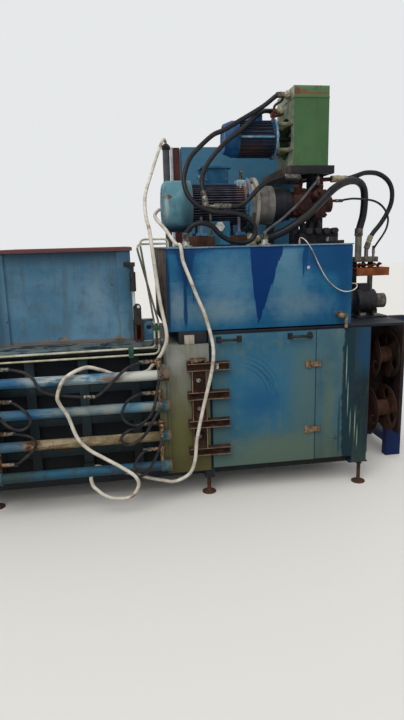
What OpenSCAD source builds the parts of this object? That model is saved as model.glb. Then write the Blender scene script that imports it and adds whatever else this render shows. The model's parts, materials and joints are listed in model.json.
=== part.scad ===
// Recycling baler: a channel press with its hydraulic power pack on top.
// Millimetres. X runs along the press from the bale mouth to the wire stand.
// Y runs from the hose side, the front, to the back. Z is up from the floor.

/* [Press channel] */
// Inside width of the bale channel
bale_w = 720; // [660:10:760]
// Inside height of the bale channel
bale_h = 760; // [740:5:780]
// Thickness of the channel's side walls
wall_t = 15; // [10:1:20]
// Thickness of the channel's floor
floor_t = 10; // [8:1:14]
// Thickness of the channel's roof
roof_t = 15; // [10:1:20]
// Length of the bale channel beyond the hopper
outlet_len = 1050; // [1000:25:1300]
// Distance from the machine's front plane to the channel's side wall
wall_setback = 125; // [115:5:150]
// Distance between the stiffening posts
post_pitch = 313; // [280:1:340]
// Width of a stiffening post
post_w = 55; // [45:1:70]
// Distance between the stiffening rails
rail_pitch = 200; // [180:5:210]

/* [Base] */
// Height of the base beams above the floor
foot_h = 120; // [100:5:140]
// Height of a base beam
beam_h = 80; // [70:5:100]
// Diameter of a levelling foot's pad
pad_d = 90; // [70:5:110]

/* [Hopper] */
// Length of the hopper along the press
hopper_len = 784; // [740:4:820]
// Height of the hopper above its flange
hopper_h = 535; // [450:5:650]
// Depth of the hopper's recessed panels behind its ribs
panel_recess = 18; // [10:1:25]
// Height of the rim round the hopper's mouth
rim_h = 20; // [15:1:30]

/* [Ram] */
// Travel of the ram
ram_stroke = 850; // [800:10:880]
// Outside diameter of the main cylinder
main_d = 200; // [180:5:230]
// Diameter of the main piston rod
main_rod_d = 110; // [90:5:125]

/* [Side cylinders] */
// Outside diameter of a side cylinder's tube
side_d = 60; // [50:1:66]
// Diameter of a side cylinder's rod
side_rod_d = 28; // [22:1:34]
// Height of the lowest side cylinder above the floor
side_z = 272; // [262:1:280]
// Distance between the side cylinders
side_pitch = 190; // [180:1:195]
// Travel of the side carriage
side_stroke = 800; // [700:10:820]

/* [Cylinder cabinet] */
// Width of the portal frame between press and cabinet
portal_w = 275; // [270:1:290]
// Width of the lift-off door
door_w = 665; // [640:5:690]
// Height of the cabinet's top above the portal's top plate
cab_rise = 53; // [45:1:65]
// Depth of the folded door pan
door_t = 20; // [15:1:25]
// Width of the fixed panel beside the door
side_panel_w = 256; // [240:1:280]
// Width of the corner leg at the right
leg_w = 105; // [90:1:120]
// Height of the wire guides on the portal
guide_h = 48; // [40:1:60]

/* [Oil tank] */
// Length of the oil tank
tank_l = 1156; // [1140:2:1170]
// Height of the oil tank
tank_h = 499; // [450:1:520]

/* [Power pack] */
// Height of the motor's shaft above the tank
motor_axis_h = 255; // [240:1:270]
// Outside diameter of the motor over its fins
motor_d = 312; // [300:2:330]
// Length of the finned motor frame
motor_l = 373; // [350:2:390]
// Diameter of the motor's flange
flange_d = 350; // [340:2:360]
// Height of the oil cooler
cooler_h = 480; // [440:5:520]
// Depth of the oil cooler, front to back
cooler_w = 370; // [350:5:400]

/* [Wire stand] */
// Diameter of a wire reel's flanges
reel_d = 330; // [300:5:350]
// Length of a wire reel over its flanges
reel_l = 140; // [120:2:150]

/* [Hidden] */
$fn = 48;

// Clearances
seat = 0.3;             // between bolted pieces
run = 0.05;             // radial, between a shaft and its bore

// Heights
beam_top = foot_h + beam_h;
floor_z = beam_top + floor_t;
roof_z = floor_z + bale_h;
chord_z = roof_z + roof_t;
chord_h = 55;
hop_z = chord_z + chord_h;
hop_top = hop_z + 10 + hopper_h;
portal_z = 183;
portal_top = chord_z + 14;
door_z = 197;
cab_top = portal_top + cab_rise;
door_h = cab_top - 3 - door_z;
deck_t = 16;
tank_z = cab_top + deck_t + 8;
tank_top = tank_z + tank_h;
// Depths
wall_in = wall_setback + wall_t;
mach_w = 2 * wall_in + bale_w;
mid_y = mach_w / 2;
post_d = 50;
post_y = wall_setback - post_d;
rail_y = post_y + 10;
rail_h = 45;
rail_z0 = 343;
chord_d = 60;
chord_y = 5;
beam_w = 60;
beam_y = wall_setback - 25;

// Lengths
hop_r = 84;
hop_l = hop_r - hopper_len;
mouth_gap = 10;
x_l = hop_l - outlet_len;
portal_l = 255;
portal_r = portal_l + portal_w;
portal_t = 12;
door_l = portal_r + 15;
door_r = door_l + door_w;
panel_l = door_r + 4;
leg_l = panel_l + side_panel_w;
cab_r = leg_l + leg_w;
anchor_w = 120;
press_r = cab_r - 50;
deck_r = cab_r + 265;

// Ram and main cylinder
ram_x = hop_r + 6;
ram_gap = 3;
main_z = floor_z + bale_h / 2;
anchor_l = press_r - anchor_w;
ram_len = ram_stroke + 10;
eye_x = anchor_l - 40;
eye_r = 34;
main_r = eye_x - eye_r - 6;
main_bore = main_d - 40;
piston_l = 80;
gland_l = 70;
main_l = main_r - ram_stroke - piston_l - 2 * gland_l - 10;

// Side cylinders
side_y = -75;
side_n = 4;
cap_l = 65;
cap_d = 72;
side_r = portal_l + 18;
side_l = hop_l - 90;
bracket_w = 60;
tee_h = 83;
tee_l = 65;
tee_y = side_y - 55;
tee_r = 12.5;
cross_gap = 40;
cross_x = side_l - cross_gap;
cross_w = 50;
guide_bar_y = post_y - 32;
pipe_y = -12;
pipe_r = 6;
union_af = 19;

// Tank and what stands on it
tank_l0 = 290;
tank_y = 30;
tank_w = mach_w - tank_y;
tank_t = 5;
lid_t = 8;
motor_y = 420;
motor_z = tank_top + motor_axis_h;
motor_x = 479;
motor_r = motor_x + motor_l;
body_r = motor_d / 2 - 16;
cowl_l = 165;
cowl_t = 3.4;
flange_t = 46;
bell_l = 189;
bell_x = motor_r + flange_t;
pump_x = bell_x + bell_l;
cooler_x = 1167;
cooler_t = 233;
cooler_y = 350;
cooler_z = 2070;
fan_z = 2260;
fan_y = cooler_y + cooler_w / 2;
fan_d = 256;
cmot_d = 236;
stand_x = 1345;
stand_y = 520;

// Control cabinet
ctrl_x = 525;
ctrl_w = 912;
ctrl_y = mach_w + 30;
ctrl_d = 300;
ctrl_h = 1200;
ctrl_z = cab_top + 41;
ctrl_door_t = 22;
handle_out = 24;

// Wire stand
reel_x = deck_r - 55;
reel_y = 300;
reel_z_up = 805;
reel_z_lo = 417;
axle_d = 40;
stand_plate_x = deck_r + 65;
stand_leg_x = deck_r + 85;
stand_leg_w = 115;

// Overall box of the rigid pieces, for the origin
x_r = stand_leg_x + stand_leg_w;
y_f = tee_y - tee_r;
y_b = ctrl_y + ctrl_d + ctrl_door_t + handle_out;
module place() translate([-(x_l + x_r) / 2, -(y_f + y_b) / 2, 0]) children();

// Helpers
module block(a, b) translate(a) cube(b - a);
module both_sides() { children(); translate([0, mach_w, 0]) mirror([0, 1, 0]) children(); }
module rod_x(x0, x1, y, z, r) translate([x0, y, z]) rotate([0, 90, 0]) cylinder(r = r, h = x1 - x0);
module rod_y(x, y0, y1, z, r) translate([x, y0, z]) rotate([-90, 0, 0]) cylinder(r = r, h = y1 - y0);
module rod_z(x, y, z0, z1, r) translate([x, y, z0]) cylinder(r = r, h = z1 - z0);
module tube_x(x0, x1, y, z, ro, ri) difference() {
    rod_x(x0, x1, y, z, ro);
    rod_x(x0 - 1, x1 + 1, y, z, ri);
}
module extrude_x(x0, x1) translate([x0, 0, 0]) rotate([90, 0, 90]) linear_extrude(x1 - x0) children();
module hex_x(x0, x1, y, z, af) translate([x0, y, z]) rotate([0, 90, 0])
    cylinder(d = af / cos(30), h = x1 - x0, $fn = 6);
module hex_z(x, y, z0, z1, af) translate([x, y, z0]) cylinder(d = af / cos(30), h = z1 - z0, $fn = 6);
module between(p, q, r) {
    v = q - p;
    translate(p) rotate([0, acos(v[2] / norm(v)), atan2(v[1], v[0])]) cylinder(r = r, h = norm(v));
}
module pipe_run(points, r) {
    for (i = [0 : len(points) - 2]) between(points[i], points[i + 1], r);
    for (i = [1 : len(points) - 2]) translate(points[i]) sphere(r = 1.12 * r);
}
// A channel section, web outwards at y = 0, flanges towards +Y
module u_section(w, d, t) difference() {
    square([w, d]);
    translate([t, t]) square([w - 2 * t, d]);
}

// Press channel
module channel_shell() color("#2b4a66") place() {
    difference() {
        union() {
            block([x_l, wall_setback, beam_top], [press_r, mach_w - wall_setback, floor_z]);
            both_sides() block([x_l, wall_setback, floor_z - 1], [press_r, wall_in, roof_z + 1]);
            block([x_l, chord_y, roof_z], [portal_l - seat, mach_w - chord_y, chord_z]);
            block([portal_l - 1, wall_setback, roof_z], [portal_r, mach_w - wall_setback, chord_z]);
        }
        block([hop_l + mouth_gap, wall_in, roof_z - 1], [hop_r - mouth_gap, mach_w - wall_in, chord_z + 1]);
    }
    shear_blade();
}
// Toothed blade on the edge of the press mouth that the ram cuts against
blade_w = 60;
blade_t = 14;
module shear_blade() difference() {
    block([hop_l + mouth_gap - blade_w, wall_in + 1, roof_z - blade_t],
        [hop_l + mouth_gap, mach_w - wall_in - 1, roof_z]);
    for (y = [wall_in + 60 : 100 : mach_w - wall_in - 40])
        rod_z(hop_l + mouth_gap - blade_w / 2, y, roof_z - blade_t - 1, roof_z - blade_t / 2, 9);
}
module channel_ribs() color("#22384c") place() {
    guide_bars();
    block([-262, 44, 215], [-202, post_y + 1, 275]);
    both_sides() ribs();
}
module ribs() {
    for (x = [hop_r - 3 : -post_pitch : x_l + post_w])
        translate([x - post_w / 2, post_y, beam_top]) linear_extrude(bale_h + floor_t)
            u_section(post_w, post_d, 5);
    for (i = [0 : 2])
        extrude_x(x_l, portal_l - seat)
            translate([rail_y, rail_z0 + i * rail_pitch - rail_h / 2]) difference() {
            square([wall_setback - rail_y, rail_h]);
            translate([5, -1]) square([wall_setback, rail_h - 5]);
        }
}
// Bars on the posts that guide the side carriage
guide_bar_z = [side_z + 75, side_z + 3 * side_pitch - 75];
guide_bar_h = 24;
module guide_bars() for (z = guide_bar_z)
    block([cross_x - side_stroke - 100, guide_bar_y, z - guide_bar_h / 2],
        [side_l, post_y, z + guide_bar_h / 2]);
module base_frame() color("#1f2f3d") place() {
    both_sides() extrude_x(x_l, leg_l) translate([beam_y, foot_h]) difference() {
        square([beam_w, beam_h]);
        translate([5, 5]) square([beam_w - 10, beam_h - 10]);
    }
    for (x = [x_l + 30, hop_l - 150, hop_r - 30])
        block([x, beam_y + beam_w - 5, foot_h], [x + 60, mach_w - beam_y - beam_w + 5, beam_top]);
    block([portal_r - 35, door_t + 1, foot_h], [portal_r + 25, mach_w - door_t - 1, beam_top]);
    block([leg_l + 10, 61, foot_h], [leg_l + 70, mach_w - 61, beam_top]);
    both_sides() block([leg_l - 10, beam_y, foot_h], [leg_l + 20, beam_y + beam_w, beam_top]);
}
foot_at = [[x_l + 60, beam_y + 30, foot_h], [hop_l - 120, beam_y + 30, foot_h], [portal_r - 5, 80, foot_h],
           [leg_l + 65, 30, foot_h + 30]];
module levelling_foot(x, y, z) {
    translate([x, y, 0]) rotate_extrude() polygon([[0, 0], [pad_d / 2, 0], [pad_d / 2, 6],
        [pad_d / 2 - 14, 12], [18, 14], [12, 20], [12, z - seat], [0, z - seat]]);
    hex_z(x, y, z - 20, z - 2, 36);
}
module levelling_feet() color("#3a332c") place() both_sides()
    for (f = foot_at) levelling_foot(f[0], f[1], f[2]);
module top_chords() color("#1f3c5c") place() both_sides()
    extrude_x(x_l, portal_l - seat) translate([chord_y, chord_z]) difference() {
        square([chord_d, chord_h]);
        translate([-1, 6]) square([chord_d - 5, chord_h - 12]);
    }

// Hopper: panels set back between ribs, a ledge below and chutes inside
hop_wall = 5;
rib_w = 80;
rim_out = 12;
module hopper() color("#49708f") place() {
    inner_l = hop_l + mouth_gap;
    inner_r = hop_r - mouth_gap;
    difference() {
        block([hop_l, 0, hop_z], [hop_r, mach_w, hop_z + 10]);
        block([inner_l, wall_in, hop_z - 1], [inner_r, mach_w - wall_in, hop_z + 11]);
    }
    both_sides() {
        block([hop_l, panel_recess, hop_z], [hop_r, panel_recess + hop_wall, hop_top]);
        for (x = [hop_l, hop_r - rib_w])
            translate([x, 0, hop_z]) linear_extrude(hop_top - hop_z) u_section(rib_w, panel_recess + 1, 4);
        extrude_x(hop_l + 1, hop_r - 1) polygon([[panel_recess + 2, hop_z + 300], [wall_in, hop_z + 2],
            [wall_in - 8, hop_z + 2], [panel_recess + 2, hop_z + 285]]);
    }
    for (x = [hop_l, hop_r - hop_wall]) block([x, panel_recess, hop_z],
        [x + hop_wall, mach_w - panel_recess, hop_top]);
    difference() {
        block([hop_l - rim_out, -rim_out, hop_top - rim_h], [hop_r + rim_out, mach_w + rim_out, hop_top]);
        block([hop_l + hop_wall, panel_recess + hop_wall, hop_top - rim_h - 1],
              [hop_r - hop_wall, mach_w - panel_recess - hop_wall, hop_top + 1]);
    }
}

// Portal frame that ties the channel's walls and carries tank, guides and cylinders
module portal_frame() color("#7d8470") place() {
    both_sides() {
        block([portal_l, 0, portal_z], [portal_r, portal_t, portal_top]);
        for (x = [portal_l, portal_r - portal_t])
            block([x, portal_t - 1, beam_top], [x + portal_t, wall_setback, portal_top]);
    }
    block([portal_l, 1, chord_z], [portal_r, mach_w - 1, portal_top]);
    block([portal_l - 40, side_y + cap_d / 2 + seat, side_z - 50],
          [portal_l + 20, 1, side_z + (side_n - 1) * side_pitch + 50]);
}

// Wire guides: an upright channel with four short channels across it
guide_x0 = portal_l + 135;
guide_x1 = door_l + 106;
guide_post_x = portal_l + 160;
guide_post_w = 90;
guide_d = 50;
guide_z = [867, 687, 507, 327];
roller_x = door_l + 30;
roller_r = 11;
pin_r = 4;
module guide_rack() color("#5a3524") place() {
    difference() {
        translate([guide_post_x, -seat, guide_z[3] - 30]) mirror([0, 1, 0])
            linear_extrude(guide_z[0] - guide_z[3] + 80) u_section(guide_post_w, guide_d - 5, 6);
        for (z = guide_z) block([guide_x0, -guide_d - 1, z - guide_h / 2],
            [guide_x1, -7 - seat, z + guide_h / 2]);
        for (i = [0 : 2]) rod_y(guide_post_x + guide_post_w / 2, -20, 1, guide_z[i] - 90, 9);
    }
    for (z = guide_z) extrude_x(guide_x0, guide_x1) translate([-seat, z - guide_h / 2])
        mirror([1, 0]) difference() {
        square([guide_d, guide_h]);
        translate([6, 5]) square([guide_d, guide_h - 10]);
    }
    rod_z(roller_x, -guide_d / 2, guide_z[0] - guide_h / 2 + 1, guide_z[0] + guide_h / 2 - 1, pin_r);
}
module guide_roller() color("#d8c8cc") place() difference() {
    rod_z(roller_x, -guide_d / 2, guide_z[0] - guide_h / 2 + 5 + seat,
        guide_z[0] + guide_h / 2 - 5 - seat, roller_r);
    rod_z(roller_x, -guide_d / 2, guide_z[0] - guide_h, guide_z[0] + guide_h, pin_r + run);
}

// Cylinder cabinet
frame_y = door_t + seat;
tube_w = 40;
module cabinet_frame() color("#20435f") place() {
    both_sides() {
        block([portal_r, frame_y, beam_top], [portal_r + tube_w, frame_y + tube_w, cab_top]);
        block([door_r - 22, frame_y, beam_top], [door_r + 26, frame_y + tube_w, cab_top]);
        block([portal_r, frame_y, cab_top - 42], [cab_r - 4, frame_y + tube_w, cab_top]);
        block([portal_r, frame_y, beam_top], [leg_l, frame_y + tube_w, beam_top + 50]);
        difference() {
            block([leg_l, 0, foot_h + 38], [cab_r - 4, frame_y + tube_w, cab_top]);
            block([leg_l + 4, 4, foot_h + 60], [cab_r - 8, frame_y + tube_w + 1, cab_top - 42]);
        }
        block([leg_l - 12, -4, foot_h + 30], [cab_r + 4, 56, foot_h + 38]);
    }
    for (z = [beam_top, cab_top - 42])
        block([cab_r - 44, frame_y + 1, z], [cab_r - 4, mach_w - frame_y - 1, z + 42]);
}
module pan(x0, x1, z0, z1, t, sheet) difference() {
    block([x0, 0, z0], [x1, t, z1]);
    block([x0 + sheet, sheet, z0 + sheet], [x1 - sheet, t + 1, z1 - sheet]);
    block([x0 + 14, sheet, z0 + 14], [x1 - 14, t + 1, z1 - 14]);
}
module front_panel() color("#2c5878") place() {
    pan(panel_l, leg_l - 1, 199, cab_top - 2, door_t, 3);
    for (z = latch_z) {
        block([panel_l + 4, -4, z - 24], [panel_l + 24, 1, z + 24]);
        for (k = [-1, 1]) rod_y(panel_l + 32, -5, 1, z + k * 14, 5);
    }
}
module side_panels() color("#2c5878") place() {
    block([cab_r - 4, 3, 211], [cab_r, mach_w - 3, cab_top - 2]);
    translate([0, mach_w, 0]) mirror([0, 1, 0]) {
        pan(portal_r + 1, door_r, door_z, cab_top - 3, door_t, 3);
        pan(panel_l, leg_l - 1, 199, cab_top - 2, door_t, 3);
    }
}
module deck() color("#3a5060") place() difference() {
    block([portal_r, frame_y + 2, cab_top], [deck_r, mach_w - frame_y - 2, cab_top + deck_t]);
    block([portal_r + 6, frame_y + 8, cab_top - 1],
        [deck_r - 6, mach_w - frame_y - 8, cab_top + deck_t - 6]);
}
module door() color("#2f6485") place() pan(door_l, door_r, door_z, door_z + door_h, door_t, 3);
handle_x = [door_l + 110, door_r - 105];
handle_w = 144;
latch_z = [door_z + 210, door_z + door_h - 211];
latch_pin_x = door_r - 42;
module door_hardware() color("#20262a") place() {
    for (x = handle_x) {
        rod_x(x - handle_w / 2, x + handle_w / 2, -34, door_z + door_h - 28, 8);
        for (s = [-1, 1]) {
            rod_y(x + s * (handle_w / 2 - 8), -36, 0, door_z + door_h - 28, 7);
            block([x + s * (handle_w / 2 - 8) - 16, -3, door_z + door_h - 48],
                  [x + s * (handle_w / 2 - 8) + 16, 0, door_z + door_h - 8]);
        }
    }
    for (z = latch_z) {
        block([latch_pin_x - 26, -4, z - 26], [latch_pin_x + 6, 0, z + 26]);
        rod_z(latch_pin_x, -9, z - 26, z + 26, 3);
        for (s = [-1, 1]) block([latch_pin_x - 6, -14, z + s * 22 - 4],
            [latch_pin_x + 6, -3, z + s * 22 + 4]);
    }
}
module latch_strap(z) color("#6d5842") place() difference() {
    union() {
        rod_z(latch_pin_x, -9, z - 17, z + 17, 4.7);
        block([latch_pin_x, -10, z - 17], [door_r + 29, -6, z + 17]);
        block([door_r + 17, -16, z - 17], [door_r + 29, -6, z + 17]);
    }
    rod_z(latch_pin_x, -9, z - 30, z + 30, 3 + run);
}
module latch_lower() latch_strap(latch_z[0]);
module latch_upper() latch_strap(latch_z[1]);

// Ram, its cylinder and the beam that takes the thrust
eye_pin_r = 20;
module anchor_beam() color("#2b4a66") place() {
    block([anchor_l, wall_in + seat, main_z - 130], [press_r, mach_w - wall_in - seat, main_z + 130]);
    for (s = [-1, 1]) difference() {
        hull() {
            block([anchor_l - 5, mid_y + s * 52 - 15, main_z - 70],
                [anchor_l + 1, mid_y + s * 52 + 15, main_z + 70]);
            rod_y(eye_x, mid_y + s * 52 - 15, mid_y + s * 52 + 15, main_z, eye_r);
        }
        rod_y(eye_x, mid_y - 80, mid_y + 80, main_z, eye_pin_r - 1);
    }
    rod_y(eye_x, mid_y - 72, mid_y + 72, main_z, eye_pin_r);
}
module main_barrel() color("#3d4a52") place() difference() {
    union() {
        rod_x(main_l, main_r, mid_y, main_z, main_d / 2);
        rod_x(main_l, main_l + 50, mid_y, main_z, main_d / 2 + 12);
        rod_x(main_r - 40, main_r, mid_y, main_z, main_d / 2 + 12);
        block([main_r - 1, mid_y - 36, main_z - eye_r], [eye_x, mid_y + 36, main_z + eye_r]);
        rod_y(eye_x, mid_y - 36, mid_y + 36, main_z, eye_r);
    }
    rod_x(main_l + gland_l, main_r - gland_l + 20, mid_y, main_z, main_bore / 2);
    rod_x(main_l - 1, main_l + gland_l + 1, mid_y, main_z, main_rod_d / 2 + run);
    rod_y(eye_x, mid_y - 40, mid_y + 40, main_z, eye_pin_r + run);
}
module main_rod() color("#b9bcc0") place() {
    rod_x(ram_x + 60, main_r - gland_l - piston_l + 1, mid_y, main_z, main_rod_d / 2);
    rod_x(main_r - gland_l - piston_l, main_r - gland_l, mid_y, main_z, main_bore / 2 - run);
}
needle_slot_h = 30;
needle_slot_d = 34;
module ram() color("#4a4038") place() {
    y0 = wall_in + ram_gap;
    y1 = mach_w - wall_in - ram_gap;
    z0 = floor_z + seat;
    z1 = roof_z - ram_gap - blade_t - 2;
    skirt_r = ram_x + ram_len;
    difference() {
        block([ram_x, y0, z0], [ram_x + 60, y1, z1]);
        for (z = guide_z) block([ram_x - 1, y0 - 1, z - needle_slot_h / 2],
            [ram_x + needle_slot_d, y1 + 1, z + needle_slot_h / 2]);
    }
    block([ram_x, y0, z1 - 12], [skirt_r, y1, z1]);
    for (y = [y0, y1 - 12]) difference() {
        block([ram_x, y, z0], [skirt_r, y + 12, z1]);
        for (i = [0 : 2]) block([ram_x + 130 + i * 240, y - 1, z0 + 170],
            [ram_x + 300 + i * 240, y + 13, z1 - 170]);
    }
    for (y = [y0, y1 - 60]) block([ram_x, y, z0], [skirt_r, y + 60, z0 + 14]);
}

// Side cylinders and the carriage that they push
function side_at(i) = side_z + i * side_pitch;
// Hose tee over a cylinder's cap: a nozzle along the tube and, on the upper ones, one turned down in front
module tee(x, dir, z, h, down) {
    rod_z(x, side_y, z, z + h, 11);
    hex_z(x, side_y, z + h - 17, z + h + 18, 34);
    rod_x(min(x, x + dir * tee_l), max(x, x + dir * tee_l), side_y, z + h, 12);
    if (down) {
        rod_y(x, tee_y, side_y, z + h, 11);
        translate([x, tee_y, z + h]) sphere(r = tee_r);
        rod_z(x, tee_y, z + 40, z + h, 11);
    }
}
module side_barrels() color("#5f8088") place() {
    for (i = [0 : side_n - 1]) difference() {
        union() {
            rod_x(side_l + cap_l - 5, side_r - cap_l + 5, side_y, side_at(i), side_d / 2);
            for (x = [side_l, side_r - cap_l]) rod_x(x, x + cap_l, side_y, side_at(i), cap_d / 2);
            tee(side_r - 58, -1, side_at(i), i == 0 ? tee_h + 27 : tee_h, i > 0);
            tee(side_l + 45, 1, side_at(i), tee_h, i > 0);
        }
        rod_x(side_l + cap_l, side_r - 25, side_y, side_at(i), side_d / 2 - 5);
        rod_x(side_l - 1, side_l + cap_l + 1, side_y, side_at(i), side_rod_d / 2 + run);
    }
    block([side_l, side_y + cap_d / 2 - 3, side_z - 60],
        [side_l + bracket_w, rail_y, side_at(side_n - 1) + 60]);
}
module side_carriage() color("#4b4f52") place() {
    for (i = [0 : side_n - 1]) {
        rod_x(cross_x - cross_w + 5, side_r - 75, side_y, side_at(i), side_rod_d / 2);
        rod_x(side_r - 76, side_r - 40, side_y, side_at(i), side_d / 2 - 5 - run);
        hex_x(cross_x, cross_x + 14, side_y, side_at(i), 40);
    }
    block([cross_x - cross_w, side_y - 30, side_z - 45], [cross_x, side_y + 30, side_at(side_n - 1) + 45]);
    for (z = guide_bar_z) block([cross_x - 80, side_y + 20, z - 26],
        [cross_x + 10, guide_bar_y - seat, z + 26]);
    for (z = guide_bar_z, s = [-1, 1])
        block([cross_x - 80, guide_bar_y - seat - 5, z + s * 19.3 - 7],
            [cross_x + 10, post_y - 8, z + s * 19.3 + 7]);
}

// Oil tank
module tank() color("#1f5f9e") place() difference() {
    block([tank_l0, tank_y, tank_z], [tank_l0 + tank_l, tank_y + tank_w, tank_top - lid_t]);
    block([tank_l0 + tank_t, tank_y + tank_t, tank_z + tank_t],
          [tank_l0 + tank_l - tank_t, tank_y + tank_w - tank_t, tank_top]);
}
module tank_lid() color("#6f93ad") place()
    block([tank_l0 - 6, tank_y - 6, tank_top - lid_t],
        [tank_l0 + tank_l + 6, tank_y + tank_w + 6, tank_top]);
module tank_supports() color("#b7a892") place() {
    both_sides() {
        block([tank_l0 + 60, 20, portal_top], [portal_r - 8, 90, tank_z]);
        block([tank_l0 + 94, 5, portal_top], [tank_l0 + 154, 21, portal_top + 56]);
    }
    for (y = [120, mid_y - 30, mach_w - 180])
        block([portal_r + 20, y, cab_top + deck_t], [tank_l0 + tank_l - 60, y + 60, tank_z]);
}
module tank_fittings() color("#c9c6bd") place() {
    rod_z(1330, 80, tank_top, tank_top + 14, 26);
    rod_z(1330, 80, tank_top + 13, tank_top + 40, 36);
    for (p = [[425, 120], [925, 165]]) {
        rod_z(p[0], p[1], tank_top, tank_top + 10, 38);
        rod_z(p[0], p[1], tank_top + 9, tank_top + 34, 22);
    }
    rod_z(855, 220, tank_top, tank_top + 10, 36);
    rod_z(855, 220, tank_top + 9, tank_top + 72, 28);
    rod_x(855, 905, 220, tank_top + 40, 23);
    rod_z(1120, 75, tank_top, tank_top + 25, 6);
    rod_x(tank_l0 + tank_l, tank_l0 + tank_l + 16, 70, 1325, 8);
    block([565, 172, tank_top], [615, 214, tank_top + 60]);
    rod_z(590, 193, tank_top + 59, 1813, 8);
    between([560, 215, 1860], [565, 195, 1815], 20);
    between([565, 195, 1815], [620, 190, 1812], 13);
    translate([565, 195, 1815]) sphere(r = 21);
    rod_x(612, 670, 190, 1812, 20);
}
tap_x = tank_l0 + tank_l - 81;
tap_z = tank_z + 62;
module drain_tap() color("#a88d54") place() {
    rod_y(tap_x, -12, tank_y, tap_z, 13);
    hex_y(tap_x, 12, 24, tap_z, 34);
    translate([tap_x, -12, tap_z]) sphere(r = 20);
    rod_z(tap_x, -12, tap_z, tap_z + 26, 6);
    rod_x(tap_x, tap_x + 34, -12, tap_z, 11);
    translate([tap_x + 34, -12, tap_z]) sphere(r = 11, $fn = 24);
    rod_z(tap_x + 34, -12, tap_z - 78, tap_z, 11);
}
module hex_y(x, y0, y1, z, af) translate([x, y0, z]) rotate([-90, 0, 0])
    cylinder(d = af / cos(30), h = y1 - y0, $fn = 6);
module drain_lever() color("#b3352a") place() difference() {
    union() {
        rod_z(tap_x, -12, tap_z + 20 + seat, tap_z + 25, 11);
        block([tap_x - 48, -20, tap_z + 20 + seat], [tap_x, -4, tap_z + 25]);
    }
    rod_z(tap_x, -12, tap_z, tap_z + 40, 6 + run);
}

// Main motor, bell housing and pump
fins_n = 52;
box_x = 596;
box_y = 440;
box_z = motor_z + body_r - 10;
module motor_frame() color("#2a5372") place() {
    difference() {
        union() {
            rod_x(motor_x, motor_r, motor_y, motor_z, body_r - 18);
            rod_x(motor_x + 2, motor_x + 14, motor_y, motor_z, motor_d / 2 + 4 - cowl_t - seat);
            extrude_x(motor_x + 6, motor_r - 14) translate([motor_y, motor_z])
                for (i = [0 : fins_n - 1]) if (abs(i * 360 / fins_n - 270) > 28)
                    rotate(i * 360 / fins_n) translate([body_r - 22, -1.8]) square([22, 3.6]);
            rod_x(motor_r - 20, motor_r, motor_y, motor_z, body_r - 4);
            rod_x(motor_r - 1, motor_r + 18, motor_y, motor_z, flange_d / 2);
            rod_x(motor_r + 17, motor_r + flange_t, motor_y, motor_z, flange_d / 2 - 30);
            for (s = [-1, 1], x = [motor_x + 40, motor_r - 90]) {
                block([x, motor_y + s * 127 - 38, motor_z - 190],
                    [x + 60, motor_y + s * 127 + 38, motor_z - 170]);
                block([x + 22, motor_y + s * 112 - 14, motor_z - 172],
                    [x + 38, motor_y + s * 112 + 14, motor_z - 70]);
            }
            block([box_x + 10, box_y + 8, motor_z + 60], [box_x + 150, box_y + 100, box_z]);
        }
        block([box_x - 1, box_y - 1, box_z], [box_x + 161, box_y + 141, box_z + 20]);
        rod_x(motor_x - 1, motor_r - 20, motor_y, motor_z, body_r - 34);
        rod_x(motor_r - 40, motor_r + flange_t + 1, motor_y, motor_z, 24 + run);
        for (s = [-1, 1], x = [motor_x + 40, motor_r - 90])
            rod_z(x + 30, motor_y + s * 140, motor_z - 200, motor_z - 160, 7);
        for (a = [22.5 : 45 : 360])
            rod_x(motor_r - 2, motor_r + 20, motor_y + 150 * cos(a), motor_z + 150 * sin(a), 9);
    }
}
// Body of revolution of the fan cowl, its end edge rounded to radius r
module cowl_body(r, extra) translate([motor_x + 18, motor_y, motor_z]) rotate([0, -90, 0]) rotate_extrude()
    polygon(concat([[0, -extra], [motor_d / 2 - 36 + r, -extra]],
        [for (a = [0 : 15 : 90]) [motor_d / 2 - 36 + r * cos(a), cowl_l - 22 + r * sin(a)]],
            [[0, cowl_l - 22 + r]]));
module motor_cowl() color("#7fb0bd") place() difference() {
    cowl_body(40, 0);
    cowl_body(40 - cowl_t, 1);
    for (r = [34 : 22 : 110]) difference() {
        tube_x(motor_x - cowl_l - 30, motor_x - cowl_l + 4, motor_y, motor_z, r + 11, r);
        for (a = [0 : 45 : 135]) translate([motor_x - cowl_l - 31, motor_y, motor_z]) rotate([a, 0, 0])
            translate([0, -140, -4]) cube([60, 280, 8]);
    }
}
module motor_rotor() color("#8c8f90") place() {
    rod_x(motor_x - cowl_l + 60, bell_x + 60, motor_y, motor_z, 24);
    rod_x(motor_x + 40, motor_r - 60, motor_y, motor_z, 95);
    rod_x(motor_x - 110, motor_x - 70, motor_y, motor_z, 50);
    for (a = [0 : 45 : 315]) translate([motor_x - 120, motor_y, motor_z]) rotate([a, 0, 0])
        translate([0, -3, 45]) cube([60, 6, 85]);
    for (x = [bell_x + 20, bell_x + 78]) rod_x(x, x + 46, motor_y, motor_z, 60);
    rod_x(bell_x + 60, bell_x + 90, motor_y, motor_z, 46);
}
module motor_box() color("#2b6ea5") place() {
    block([box_x, box_y, box_z + seat], [box_x + 160, box_y + 140, motor_z + 236]);
    block([box_x - 24, box_y - 14, motor_z + 236], [box_x + 178, box_y + 154, motor_z + 252]);
    rod_x(box_x - 40, box_x + 1, box_y + 50, motor_z + 190, 16);
    rod_x(box_x - 28, box_x + 1, box_y + 100, motor_z + 215, 12);
}
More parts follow.
